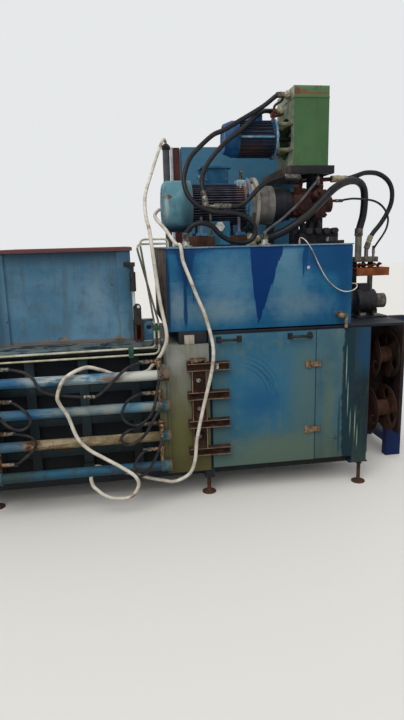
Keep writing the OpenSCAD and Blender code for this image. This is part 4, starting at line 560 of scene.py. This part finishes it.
def softened(node, slot, width, body="frame"):
    """A part as its maker left it: the CAD form with its flats joined, edges rounded and each region painted."""
    piece = nodes[node].copy()
    piece.data = nodes[node].data.copy()
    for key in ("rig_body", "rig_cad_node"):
        if key in piece:
            del piece[key]
    piece.parent = None
    bpy.context.scene.collection.objects.link(piece)
    chosen(piece)
    bpy.ops.object.mode_set(mode="EDIT")
    bpy.ops.mesh.select_all(action="SELECT")
    bpy.ops.mesh.remove_doubles(threshold=MERGED * 2)
    bpy.ops.mesh.dissolve_limited(angle_limit=FLAT)
    bpy.ops.object.mode_set(mode="OBJECT")
    bevelled(piece, width, angle_limit=SHARP, use_clamp_overlap=True, harden_normals=False)
    smoothed(piece, 40)
    settled(piece, node + "_sheet", finishes[node], body)
    painted(piece, regions.get(node, ()))
    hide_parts(node)


def joined(*parts):
    nothing_selected()
    for part in parts:
        part.select_set(True)
    bpy.context.view_layer.objects.active = parts[0]
    if len(parts) > 1:
        bpy.ops.object.join()
    return parts[0]


def barred(low, high, width=2.0, segments=2):
    """A bar or plate between two corners, its edges rounded."""
    low, high = at(*low), at(*high)
    nothing_selected()
    bpy.ops.mesh.primitive_cube_add(size=1, location=(low + high) / 2, scale=high - low)
    return bevelled(applied_place(bpy.context.object), width, segments)


def turned(profile, foot, aim, steps=32):
    """A body of revolution: profile is (radius, height) in millimetres, spun round aim from foot."""
    mesh = bpy.data.meshes.new("turned")
    mesh.from_pydata([(r / 1000, 0, h / 1000) for r, h in profile], [(i, i + 1) for i in range(len(profile) - 1)], [])
    piece = chosen(placed("turned", mesh))
    bpy.ops.object.mode_set(mode="EDIT")
    bpy.ops.mesh.select_all(action="SELECT")
    bpy.ops.mesh.spin(steps=steps, angle=math.tau, center=(0, 0, 0), axis=(0, 0, 1), use_normal_flip=False)
    bpy.ops.mesh.select_all(action="SELECT")
    bpy.ops.mesh.remove_doubles(threshold=MERGED)
    bpy.ops.mesh.normals_make_consistent(inside=False)
    bpy.ops.object.mode_set(mode="OBJECT")
    return smoothed(aimed(piece, foot, aim), 35)


def hexagon(radius, depth, lift, edge, segments):
    """An upright hexagonal prism in millimetres, its middle lift above the origin."""
    nothing_selected()
    bpy.ops.mesh.primitive_cylinder_add(vertices=6, radius=radius / 1000, depth=depth / 1000,
                                        location=(0, 0, lift / 1000))
    return bevelled(applied_place(bpy.context.object), edge, segments)


def hex_bolt(foot, aim, across=19, head=8, washer=13):
    """A hexagon head on its washer, the washer lying on foot."""
    disc = turned([(0, 0), (washer, 0), (washer, 1.6), (washer - 0.8, 2.2), (0, 2.2)], foot, aim, 16)
    top = hexagon(across / 2 / math.cos(math.pi / 6), head, 2.2 + head / 2, 1.2, 1)
    return joined(disc, aimed(top, foot, aim))


def curved(name, points, radius, kind):
    """A curve object as thick as radius (mm), with one spline that has room for all the points."""
    curve = bpy.data.curves.new(name, "CURVE")
    curve.dimensions = "3D"
    curve.bevel_depth = radius / 1000
    curve.bevel_resolution = 3
    curve.use_fill_caps = True
    line = curve.splines.new(kind)
    (line.bezier_points if kind == "BEZIER" else line.points).add(len(points) - 1)
    return placed(name, curve), line


# Hoses and cables: the routes of the CAD, in machine millimetres
routes = {
    "cooler_hose_a": [(1125, 436, 2512), (1085, 436, 2512), (985, 432, 2440), (830, 395, 2350), (715, 360, 2285),
        (640, 330, 2250), (555, 300, 2180), (490, 270, 2115), (455, 240, 2050), (435, 215, 1975), (445, 185, 1900),
        (475, 165, 1850), (520, 153, 1810), (590, 150, 1782), (665, 148, 1772), (750, 150, 1765), (825, 152, 1732),
        (862, 152, 1675), (845, 148, 1618), (790, 142, 1594), (705, 130, 1605), (640, 120, 1640), (590, 113, 1690),
        (530, 110, 1714), (470, 112, 1702), (433, 118, 1665), (425, 120, 1640), (425, 120, 1609)],
    "cooler_hose_b": [(1125, 586, 2446), (1095, 586, 2446), (1040, 545, 2440), (985, 475, 2415), (895, 400, 2345),
        (810, 370, 2275), (740, 360, 2225), (665, 340, 2155), (605, 320, 2085), (565, 290, 2015), (552, 262, 1960),
        (555, 235, 1905), (560, 215, 1860)],
    "pump_hose_c": [(670, 190, 1812), (700, 190, 1812), (745, 190, 1808), (800, 195, 1828), (860, 205, 1880),
        (915, 235, 1930), (990, 275, 1970), (1065, 302, 1994), (1108, 315, 1998), (1139.6, 324.9, 1998)],
    "drain_hose": [(1338, 365, 2000), (1338, 365, 1985), (1322, 350, 1967), (1290, 325, 1940), (1225, 290, 1875),
        (1165, 260, 1820), (1105, 240, 1772), (1045, 210, 1728), (990, 185, 1695), (950, 170, 1670), (930, 165, 1655),
        (925, 165, 1635), (925, 165, 1609)],
    "suction_hose": [(905, 220, 1615), (945, 220, 1615), (1005, 220, 1632), (1100, 220, 1674), (1205, 220, 1742),
        (1300, 230, 1825), (1405, 260, 1915), (1515, 320, 1965), (1610, 380, 1975), (1680, 430, 1945),
        (1712, 465, 1875), (1716, 485, 1765), (1700, 490, 1690), (1690, 490, 1650), (1690, 490, 1620)],
    "return_hose": [(1500, 398, 1992), (1560, 400, 1994), (1625, 402, 2012), (1690, 410, 2030), (1780, 420, 2025),
        (1850, 422, 1985), (1890, 430, 1925), (1895, 434, 1845), (1870, 440, 1770), (1825, 445, 1695),
        (1780, 450, 1640), (1755, 450, 1600), (1745, 450, 1570)],
    "pilot_hose": [(1470, 380, 1850), (1500, 380, 1850), (1540, 368, 1857), (1600, 355, 1860), (1720, 350, 1845),
        (1795, 358, 1805), (1840, 370, 1740), (1842, 380, 1675), (1822, 395, 1620), (1797, 425, 1565),
        (1785, 450, 1525), (1785, 450, 1500)],
    "long_hose_run": [(-680, -75, 925), (-640, -75, 925), (-595, -80, 918), (-540, -92, 902), (-497, -110, 870),
        (-470, -125, 815), (-420, -130, 785), (-370, -131, 772), (-220, -135, 752), (-160, -135, 750),
        (-115, -132, 775), (-55, -130, 830), (5, -122, 885), (55, -102, 912), (95, -85, 922), (125, -75, 925),
        (150, -75, 925)],
    "right_loop_2": [(150, -75, 735), (122, -75, 735), (85, -97, 735), (30, -127, 715), (0, -135, 675),
        (-13, -135, 630), (10, -135, 585), (55, -135, 562), (95, -135, 567), (145, -135, 605), (175, -135, 660),
        (190, -135, 730), (205, -133, 800), (215, -130, 850), (215, -130, 882)],
    "right_loop_3": [(150, -75, 545), (122, -75, 545), (75, -105, 540), (25, -127, 532), (-10, -135, 510),
        (-25, -137, 482), (-5, -138, 450), (30, -142, 445), (75, -150, 470), (120, -160, 515), (155, -163, 575),
        (185, -158, 622), (207, -142, 650), (215, -130, 672), (215, -130, 692)],
    "right_loop_4": [(150, -75, 382), (125, -75, 382), (95, -103, 372), (65, -125, 347), (45, -135, 310),
        (40, -137, 272), (60, -138, 245), (100, -142, 252), (140, -150, 300), (170, -160, 360), (195, -160, 415),
        (210, -148, 455), (215, -130, 480), (215, -130, 502)],
    "left_loop_2": [(-680, -75, 735), (-650, -75, 735), (-610, -92, 724), (-565, -120, 697), (-540, -132, 668),
        (-527, -135, 635), (-545, -137, 600), (-585, -138, 583), (-635, -142, 600), (-675, -145, 640),
        (-715, -145, 705), (-738, -140, 790), (-745, -130, 850), (-745, -130, 882)],
    "left_loop_3": [(-680, -75, 545), (-650, -75, 545), (-575, -110, 543), (-530, -127, 530), (-510, -132, 500),
        (-520, -134, 465), (-555, -132, 430), (-590, -125, 400), (-622, -98, 372), (-655, -75, 355), (-680, -75, 355)],
    "white_cable_loose": [(415, 1058, 2298), (415, 1058, 2325), (402, 1028, 2345), (380, 975, 2320), (345, 900, 2240),
        (290, 800, 2105), (215, 500, 1910), (195, 200, 1770), (200, 20, 1690), (205, -40, 1620), (220, -47, 1465),
        (240, -50, 1280), (272, -60, 1075), (248, -54, 985), (215, -40, 930), (185, -14, 890), (145, 0, 850),
        (45, 0, 838), (-40, -5, 845), (-125, -35, 885), (-210, -78, 912), (-320, -130, 868), (-365, -165, 780),
        (-355, -155, 720), (-320, -138, 650), (-275, -135, 510), (-210, -135, 430), (-130, -138, 375),
        (-30, -160, 315), (45, -167, 255), (60, -165, 190), (5, -145, 118), (-110, -130, 118), (-195, -125, 185),
        (-213, -122, 225), (-215, -122, 255)],
    "white_cable_fixed": [(490, 1010, 1900), (490, 970, 1900), (430, 840, 1870), (330, 720, 1835), (285, 600, 1800),
        (270, 450, 1770), (275, 310, 1740), (315, 240, 1685), (350, 160, 1620), (366, 80, 1592), (375, 15, 1590),
        (380, -8, 1560), (388, -14, 1495), (425, -30, 1390), (465, -35, 1280), (505, -42, 1180), (540, -62, 1030),
        (543, -87, 945), (525, -88, 825), (470, -88, 610), (430, -88, 425), (415, -80, 290), (380, -50, 190),
        (290, -38, 145), (210, -25, 155), (135, -15, 172), (75, -8, 192), (5, 0, 212), (-90, 25, 228), (-175, 60, 245),
        (-202, 60, 245)],
    "level_wire": [(1120, 75, 1600), (1120, 75, 1609), (1127, 60, 1614), (1140, 38, 1602), (1155, 17, 1578),
        (1185, 14, 1530), (1230, 14, 1440), (1280, 14, 1360), (1340, 14, 1305), (1395, 14, 1282), (1440, 12, 1285),
        (1470, 16, 1300), (1486, 38, 1316), (1482, 64, 1325), (1472, 70, 1325), (1462, 70, 1325)],
}


def strung(name, thick, finish):
    """A hose or cable along its route, bent smoothly through each point."""
    points = [at(*p) for p in routes[name]]
    piece, line = curved(name, points, thick / 2, "BEZIER")
    piece.data.resolution_u = 6
    for i, (knot, here) in enumerate(zip(line.bezier_points, points)):
        ahead, behind = points[min(i + 1, len(points) - 1)], points[max(i - 1, 0)]
        lean = (ahead - behind) / 6
        knot.handle_left_type = knot.handle_right_type = "FREE"
        knot.co, knot.handle_left, knot.handle_right = here, here - lean, here + lean
    piece.data.materials.append(finish_of[finish])
    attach(piece, "frame")
    return piece


# Wire-braided rubber hose, dull and dusty; PVC-sheathed cable gone cream
metal("hose_rubber", "#0e0e12", "#1b1a20", 40, rough=0.42, dirt="#2d2928", dirty=0.22, bump=0.25)
metal("old_rubber", "#161619", "#28282c", 30, rough=0.55, dirt="#3c3731", dirty=0.35, bump=0.3)
metal("grey_rubber", "#37373a", "#55555a", 30, rough=0.55, dirt="#453e36", dirty=0.35, bump=0.3)
metal("cable_pvc", "#b9b1a0", "#d6d0c4", 50, dirt="#83725a", bump=0.08)

cords = [
    # route, diameter, real length, far end, stiffness, finish, CAD node
    ("cooler_hose_a", 30, 2.135, "object", "stiff", "hose_rubber", "cooler_hoses"),
    ("cooler_hose_b", 30, 0.990, "object", "stiff", "hose_rubber", "cooler_hoses"),
    ("pump_hose_c", 30, 0.551, "object", "stiff", "hose_rubber", "pump_hoses"),
    ("drain_hose", 18, 0.629, "object", "stiff", "grey_rubber", "pump_hoses"),
    ("suction_hose", 50, 1.288, "object", "stiff", "hose_rubber", "return_hoses"),
    ("return_hose", 32, 0.840, "object", "stiff", "hose_rubber", "return_hoses"),
    ("pilot_hose", 14, 0.691, "object", "stiff", "old_rubber", "return_hoses"),
    ("long_hose_run", 18, 0.965, "object", "stiff", "old_rubber", "long_hose"),
    ("right_loop_2", 18, 0.733, "object", "stiff", "old_rubber", "right_loops"),
    ("right_loop_3", 18, 0.619, "object", "stiff", "old_rubber", "right_loops"),
    ("right_loop_4", 18, 0.562, "object", "stiff", "old_rubber", "right_loops"),
    ("left_loop_2", 18, 0.665, "object", "stiff", "old_rubber", "left_loops"),
    ("left_loop_3", 18, 0.455, "object", "stiff", "old_rubber", "left_loops"),
    ("white_cable_loose", 22, 4.040, "bare", "medium", "cable_pvc", "white_cables"),
    ("white_cable_fixed", 22, 3.229, "object", "medium", "cable_pvc", "white_cables"),
    ("level_wire", 6, 0.648, "object", "limp", "cable_pvc", "white_cables"),
]
for name, thick, length, far, stiffness, finish, node in cords:
    piece = strung(name, thick, finish)
    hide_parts(node)


def within(x=None, y=None, z=None):
    """A test for faces between limits (low, high) along each axis."""
    limits = [pair or (-math.inf, math.inf) for pair in (x, y, z)]
    return lambda *place: all(low < part < high for part, (low, high) in zip(place, limits))


def off_axis(test, y, z, radius, beyond=True):
    """A test for faces that pass test and lie beyond radius from an axis along x, or inside it."""
    return lambda *place: test(*place) and beyond == (math.hypot(place[1] - y, place[2] - z) > radius)


def below(limit):
    return -math.inf, limit


def above(limit):
    return limit, math.inf


def tube(height):
    return within((-728, 211), z=(height - 37, height + 37))


def on_cap(x, y, z):
    return (x > 207 or x < -724) and min(abs(z - height) for height in TUBES) < 37.5


def on_fins(radius, lowest, land):
    """The motor's fins beyond radius, without the land under its terminal box."""
    return lambda x, y, z: (492 < x < 832 and math.hypot(y - MOTOR_Y, z - MOTOR_Z) > radius and z > lowest
                            and not (594 < x < 752 and z > land))


# Regions of one casting or weldment that wear different coats, some of them painted light (a painted highlight on the
# fin tips, the cooler's side made paler against its shade), later ones over earlier ones
regions = {
    "side_barrels": [("tee_brass", within()), ("rib_enamel", within(y=above(-42))), *zip(
        ("tube_dark", "tube_olive", "tube_grey", "tube_pale"), map(tube, TUBES)), ("cap_enamel", on_cap)],
    "tank": [("tank_end", within(below(290.8)))],
    "guide_rack": [("rack_flange", within(y=below(-44)))],
    "aux_pump": [
        ("coil_black", within(below(1745), z=below(1262))), ("cast_pale", within((1743, 1830), z=below(1262))),
        ("plate_rust", within(y=above(405), z=(1344, 1401))), ("cast_pale", within(z=(1438, 1476))),
        ("line_olive", within(below(1714), z=above(1474))), ("fitting_steel", within(above(1714), z=above(1474)))],
    "lock_cylinder": [("pump_cast", within(z=below(1145)))],
    "lock_bolt": [("hardware_black", within(above(85), z=below(1264))), ("roller_nylon", within(y=below(-37)))],
    "tank_fittings": [
        ("coil_black", within((1300, 1370), below(130))), ("fitting_steel", within(z=above(1640))),
        ("rail_rust", within((560, 620), z=below(1640))), ("pale_fitting", within((820, 906), z=below(1660)))],
    "tank_supports": [("support_primer", within(y=below(19)))],
    "pump": [("pump_black", within(below(1152))), ("fitting_steel", within((1130, 1215), below(352), above(1975))),
             ("pale_fitting", within(above(1425), below(425), above(1960)))],
    "bell_housing": [("bell_cream", within(below(923))), ("pump_black", within(above(1037)))],
    # the fin tips get a painted highlight
    "motor_frame": [("fin_enamel", on_fins(112, 1688, 1955)), ("fin_tip_highlight", on_fins(138.5, 1700, 1945)),
                    ("bell_cream", within(above(872)))],
    "cooler_motor": [
        ("fan_motor_fins", within((838, 1055), z=below(2362))), ("strut_primer", within(above(1088))),
        ("flange_enamel", off_axis(within((1072, 1088)), FAN_MOTOR_Y, FAN_MOTOR_Z, 110))],
    "cooler_shroud": [("cooler_side_painted_light", within(below(1168.5))), ("pale_fitting", within(below(1163)))],
    "cabinet_arms": [("mast_grey", within(below(442), z=above(1053))),
                     ("conduit_pvc", within((443, 466.5), z=above(1053)))],
    "wire_stand": [("post_enamel", within(above(1924)))],
    "valve_block": [("coil_black", within(z=above(1640))), ("pump_cast", within(above(1399), z=below(1596)))],
    "reel_upper": [("rail_rust", off_axis(within(), REEL_Y, UPPER_REEL_Z, REEL_DRUM, False))],
    "reel_lower": [("rail_rust", off_axis(within(), REEL_Y, LOWER_REEL_Z, REEL_DRUM, False))],
    "door_hardware": [("latch_rust", within(z=below(960)))],
    "cooler_stand": [("arm_dust", within(below(1150), z=above(2015)))],
    "cabinet_frame": [("oily_enamel", within(above(1465), below(20)))],
}

# CAD node, record slot, edge rounding in millimetres, and its body if that isn't the frame
for row in [
        ("hopper", "hopper_paint", 2), ("portal_frame", "portal_paint", 2.5), ("door", "door_paint", 2.5, "door_body"),
        ("front_panel", "door_paint", 2.5), ("tank", "tank_paint", 3), ("tank_lid", "tank_rim", 1.5),
        ("cooler_shroud", "cooler_green", 2.5), ("motor_box", "box_paint", 3), ("top_chords", "base_paint", 2),
        ("guide_rack", "guide_rust", 1.5), ("control_cabinet", "control_paint", 3), ("base_frame", "base_paint", 3),
        ("cabinet_frame", "cabinet_paint", 2.5), ("deck", "cabinet_paint", 2.5), ("channel_ribs", "press_paint", 2),
        ("side_barrels", "cylinder_paint", 1.5), ("aux_pump", "valve_black", 2),
        ("lock_cylinder", "black_hardware", 1.5), ("lock_bolt", "chrome_rod", 1.2, "bolt"),
        ("tank_fittings", "zinc_fittings", 1.5), ("tank_supports", "support_paint", 2), ("pump", "pump_cast", 4),
        ("bell_housing", "bell_cast", 3), ("motor_frame", "motor_paint", 1), ("cooler_motor", "fan_motor_paint", 1),
        ("cabinet_arms", "arm_rust", 2), ("wire_stand", "stand_rust", 2), ("valve_block", "valve_black", 1.5),
        ("door_hardware", "black_hardware", 1, "door_body"), ("cooler_stand", "stand_paint", 3),
        ("lifting_lug", "lug_paint", 2), ("motor_rails", "rail_rust", 2), ("reel_upper", "reel_paint", 1, "upper_reel"),
        ("reel_lower", "reel_paint", 1, "lower_reel")]:
    softened(*row)


# Hose ends: a crimped ferrule with its ridges and the swivel nut that draws it up
def hose_end(name, thick, first):
    foot, on = routes[name][:2] if first else routes[name][:-3:-1]
    inward = Vector(on) - Vector(foot)
    r = thick / 2
    crimp = [(r - 1, 14), (r + 3, 14)]
    for ridge in range(15, 40, 8):
        crimp += [(r + 3.4, ridge), (r + 3.4, ridge + 5), (r + 2, ridge + 6), (r + 2, ridge + 7)]
    crimp += [(r + 2.6, 48), (r + 1, 50), (r - 1, 50)]
    sleeve = turned(crimp, foot, inward, 20)
    nut = aimed(hexagon(r + 4.5, 16, 6, 1.5, 2), foot, inward)
    settled(joined(sleeve, nut), name + ("_nut_a" if first else "_nut_b"),
            "pale_fitting" if name == "return_hose" else "fitting_steel")


for name, thick, *_, finish, node in cords:
    if finish != "cable_pvc":
        hose_end(name, thick, True)
        hose_end(name, thick, False)

# The repair coupling in the middle of the long hose
coupling = turned([(8, 0), (12, 0), (12, 16), (10.5, 17), (10.5, 19), (13, 20), (13, 42), (10.5, 43), (10.5, 45),
                   (12, 46), (12, 62), (8, 62)], (-222, -135, 752), (62, 0, -2), 6)
settled(coupling, "hose_coupling", "fitting_steel")

# Motor: bolts through both flanges, the cast pad and lifting eye above them, the glands and screws of its box
bolts = []
for i in range(8):
    turn = math.radians(22.5 + 45 * i)
    y, z = MOTOR_Y + MOTOR_BOLTS * math.cos(turn), MOTOR_Z + MOTOR_BOLTS * math.sin(turn)
    bolts += [hex_bolt((850.8, y, z), LEFTWARD, 20, 9, 14), hex_bolt((922.2, y, z), RIGHTWARD, 20, 10, 14),
              turned([(0, 0), (6, 0), (6, 70), (0, 70)], (851.5, y, z), RIGHTWARD, 12)]
settled(joined(*bolts), "flange_bolts", "fitting_steel")
settled(joined(barred((792, 352, 1930), (868, 455, 1986), 7, 3), barred((806, 340, 1900), (822, 380, 1975), 4),
               barred((842, 340, 1900), (858, 380, 1975), 4)), "motor_pad", "pad_rust")
eye = turned([(0, 0), (20, 0), (20, 8), (11, 14), (11, 22), (0, 24)], (830, 400, 1985), UPWARD, 24)
nothing_selected()
bpy.ops.mesh.primitive_torus_add(major_radius=0.020, minor_radius=0.0065, major_segments=28, minor_segments=10,
                                 location=at(830, 400, 2025), rotation=(0, math.radians(90), 0))
settled(joined(eye, bpy.context.object), "motor_eye", "fitting_steel")
glands = [turned([(0, 0), (17, 0), (17, 9), (14, 10), (14, 16), (16, 17), (16, 30), (9, 33), (0, 33)],
                 (596, y, 2012), LEFTWARD, 6) for y in (475, 520)]
settled(joined(*glands), "box_glands", "flange_enamel")
screws = [hex_bolt((x, 439.5, z), NEARWARD, 11, 5, 8) for x in (610, 742) for z in (1998, 2050)]
settled(joined(*screws), "box_bolts", "fitting_steel")

# Under the motor: the bracket plate that carries a hexagonal plug, with its foot
settled(joined(barred((598, 246, 1576), (722, 254, 1728)), barred((598, 246, 1576), (722, 300, 1584))), "plug_plate",
        "teal_enamel")
plug = turned([(0, 0), (30, 0), (33, 3), (33, 12), (30, 15), (15, 15), (13, 12), (0, 12)], (656, 246, 1694),
              NEARWARD, 6)
settled(plug, "hex_plug", "plug_zinc")

# Fan motor: the pale strip along its side where the two castings meet, and the nuts of its struts
settled(barred((838, 411, 2250), (1062, 424, 2263)), "fan_motor_strip", "flange_enamel")
nuts = [turned([(0, 0), (21, 0), (22, 2), (22, 13), (20, 15), (0, 15)],
               (1088, FAN_MOTOR_Y + FAN_MOTOR_STRUTS * math.cos(turn), FAN_MOTOR_Z + FAN_MOTOR_STRUTS * math.sin(turn)),
               RIGHTWARD, 6) for turn in map(math.radians, (45, 135, 225, 315))]
settled(joined(*nuts), "strut_nuts", "strut_primer")


def piped(points, radius, smooth=True):
    """A bent metal tube or wire through points, as a mesh."""
    piece, line = curved("pipe", points, radius, "NURBS" if smooth else "POLY")
    for knot, place in zip(line.points, points):
        knot.co = (*at(*place), 1)
    if smooth:
        line.use_endpoint_u = True
        line.order_u = 3
    chosen(piece)
    bpy.ops.object.convert(target="MESH")
    return smoothed(bpy.context.object, 40)


def bent(points, bends):
    """The route with each corner swept round at its own bend radius."""
    route = [Vector(points[0])]
    for i, radius in enumerate(bends):
        before, corner, after = (Vector(points[i + j]) for j in range(3))
        back, on = (before - corner).normalized(), (after - corner).normalized()
        reach = radius / math.tan(back.angle(on) / 2)
        route += [corner + back * reach * (1 - k / 8) ** 2 + on * reach * (k / 8) ** 2 for k in range(9)]
    return route + [Vector(points[-1])]


# Hard pipes: cold-bent steel tube, drawn up with hexagon nuts and held in green clamps
lines = [
    ([(-1690, -12, 986), (-760, -12, 986), (204, -12, 998), (204, -12, 1035)], (100, 22)),
    ([(204, -12, 1035), (204, -12, 1152), (140, -6, 1626), (310, 60, 1626), (310, 60, 1575)], (90, 34, 30)),
    ([(-1690, -12, 950), (-760, -12, 950), (229, -12, 958), (229, -12, 1035)], (100, 40)),
    ([(229, -12, 1035), (229, -12, 1152), (120, 12, 1600), (310, 90, 1600), (310, 90, 1575)], (90, 34, 18)),
]
runs = joined(*[piped(bent(*line), 6, smooth=False) for line in lines])
settled(runs, "pipe_runs", "line_steel")
painted(runs, [("line_olive", within(above(100), z=(1122, 1580)))])
nuts = [turned([(0, 0), (10, 0), (11.5, 1.5), (11.5, height - 1.5), (10, height), (0, height)], (x, -12, z), UPWARD, 6)
        for x in (204, 229) for z, height in ((1018, 17), (1035.5, 17), (1126.5, 12))]
nuts = settled(joined(*nuts), "pipe_nuts", "fitting_steel")
halves = []
clamps = [(194, 239, 1100, 1126, 1113, False), *[(x, x + 30, 942, 1005, 974, True) for x in (-1550, -900, 46)]]
for left, right, low, high, bolt, on_chord in clamps:
    halves += [barred((left, -22, low), (right, -12.6, high)), barred((left, -11.4, low), (right, -2, high))]
    if on_chord:
        halves.append(barred((left, -3, 986), (right, 5, high), 1.5))
    halves.append(hex_bolt(((left + right) / 2, -22, bolt), NEARWARD, 10, 5, 7))
halves = settled(joined(*halves), "pipe_clamps", "clamp_green")
for piece in (runs, nuts, halves):
    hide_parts("hard_pipes")

# Cooler: the rusty bleed pipes below its ports, their cock and red knob
bleed = piped([(1128, 455, 2500), (1118, 452, 2478), (1080, 448, 2462), (1062, 448, 2440), (1066, 450, 2420)], 8)
cock = turned([(0, 0), (13, 0), (13, 12), (9, 14), (9, 22), (15, 24), (15, 36), (0, 38)], (1066, 450, 2424),
              (0, 0, -1), 6)
drain = piped([(1140, 570, 2430), (1138, 540, 2410), (1110, 500, 2404), (1080, 480, 2392)], 8)
settled(joined(bleed, cock, drain), "bleed_pipes", "rail_rust")
knob = turned([(0, 0), (6, 0), (6, 12), (19, 14), (21, 18), (19, 22), (0, 22)], (1070, 470, 2396),
              (-0.6, -1, -0.2), 20)
settled(knob, "bleed_knob", "lever_red")

# Pump: the cover on its near side, its cap screws, the hexagon collars of its ports, its governor and a small plug
trim = [turned([(0, 0), (62, 0), (62, 8), (54, 14), (36, 16), (34, 24), (0, 26)], (1227, 328, 1822), NEARWARD, 28)]
trim += [hex_bolt((1227 + 48 * math.cos(t), 318, 1822 + 48 * math.sin(t)), NEARWARD, 13, 7, 9)
         for t in (0.4, 1.45, 2.5, 3.54, 4.6, 5.64)]
trim += [hex_bolt((1386.8, MOTOR_Y + y, MOTOR_Z + z), RIGHTWARD, 17, 10, 12) for y in (-66, 66) for z in (-70, 70)]
trim += [
    turned([(0, 0), (40, 0), (42, 3), (42, 20), (38, 24), (0, 24)], (1237, 420, 1910), UPWARD, 6),
    turned([(0, 0), (30, 0), (32, 3), (32, 16), (28, 20), (0, 20)], (1355, 390, 1936), UPWARD, 6),
    turned([(0, 0), (26, 0), (28, 3), (28, 60), (22, 66), (12, 70), (12, 92), (0, 94)], (1300, 345, 1862),
           (0.25, -1, 0.5), 24),
    turned([(0, 0), (20, 0), (20, 34), (24, 36), (24, 48), (0, 50)], (1190, 340, 1902), (-0.3, -0.4, 1), 6)]
settled(joined(*trim), "pump_trim", "pump_cast")

# Mast: the black bushing where the loose cable comes out
bush = turned([(12, 0), (30, 0), (32, 4), (32, 22), (24, 34), (16, 40), (12, 38)], (415, 1058, 2278), UPWARD, 28)
settled(bush, "mast_bush", "hardware_black")

# Guide rack: bolts in its post, and the crumpled scrap of sheet left on its top bracket
top_bolt, *low_bolts = [hex_bolt((460, -6.4, z), NEARWARD, 20, 10, 14) for z in (777, 597, 417)]
settled(top_bolt, "rack_bolt_top", "zinc")
settled(joined(*low_bolts), "rack_bolts", "rack_flange")


def crumpled(name, middle, size, lift, finish):
    """A scrap of thin sheet bent out of shape, lying at middle: size is its length and width, lift its highest fold."""
    nothing_selected()
    bpy.ops.mesh.primitive_grid_add(x_subdivisions=22, y_subdivisions=9, size=1)
    scrap = bpy.context.object
    for corner in scrap.data.vertices:
        x, y = corner.co.x, corner.co.y
        fold = 0.5 + 0.5 * math.sin(9 * x + 4 * y) + 0.35 * math.sin(23 * x - 11 * y)
        corner.co = at(middle[0] + size[0] * x + 6 * math.sin(14 * y), middle[1] + size[1] * y,
                       middle[2] + lift * max(0.0, fold) + lift * 0.6 * abs(y))
    applied(scrap, "SOLIDIFY", thickness=0.002, offset=0)
    settled(smoothed(scrap, 50), name, finish)


crumpled("rack_scrap", (448, -26, 893), (118, 38), 16, "rack_flange")
crumpled("stand_scrap", (1745, 470, 1402), (190, 110), 22, "plate_rust")

# Tank: the weld along its top edge and down its corners
settled(joined(piped([(292 + 38 * i, 29.4 - (i % 2) * 0.5, 1566) for i in range(31)], 2.2),
               *[piped([(x, 30.5, z) for z in range(1080, 1561, 40)], 2.6) for x in (291.5, 1445)]), "tank_welds",
        "tank_enamel")


def put_floor():
    """A plain pale floor, an even sky and one wide soft lamp."""
    tree = new_material("pale_floor")
    path = add(tree, "LightPath").outputs
    seen = maths(tree, "MAXIMUM", path["Is Camera Ray"], path["Is Glossy Ray"])
    seen = maths(tree, "MAXIMUM", seen, path["Is Transmission Ray"])
    surfaced(tree, Base_Color=mixed(tree, seen, "#8f8c87", "#dddbd6"), Roughness=0.9)
    nothing_selected()
    bpy.ops.mesh.primitive_plane_add(size=60, location=(0, 0, 0))
    floor = bpy.context.object
    floor.name = "floor"
    floor.data.materials.append(finish_of["pale_floor"])
    world = bpy.context.scene.world = bpy.data.worlds.new("sky")
    world.use_nodes = True
    tree = world.node_tree
    tree.nodes.clear()
    path = add(tree, "LightPath").outputs
    seen = maths(tree, "MAXIMUM", path["Is Camera Ray"], path["Is Transmission Ray"])
    light = add(tree, "Background", {"Color": (0.97, 0.985, 1.0, 1.0), "Strength": 0.77}).outputs[0]
    back = add(tree, "Background", {"Color": linear("#e6e8ea"), "Strength": 1.0}).outputs[0]
    add(tree, "OutputWorld", {"Surface": add(tree, "MixShader", {0: seen, 1: light, 2: back}).outputs[0]})
    lamp = bpy.data.lights.new("soft_sun", "SUN")
    lamp.energy = 1.5
    lamp.angle = math.radians(40)
    lamp.color = (1.0, 0.98, 0.95)
    placed("soft_sun", lamp).rotation_euler = (math.radians(42), 0, math.radians(-28))


put_floor()
bpy.context.scene.view_settings.view_transform = "Standard"
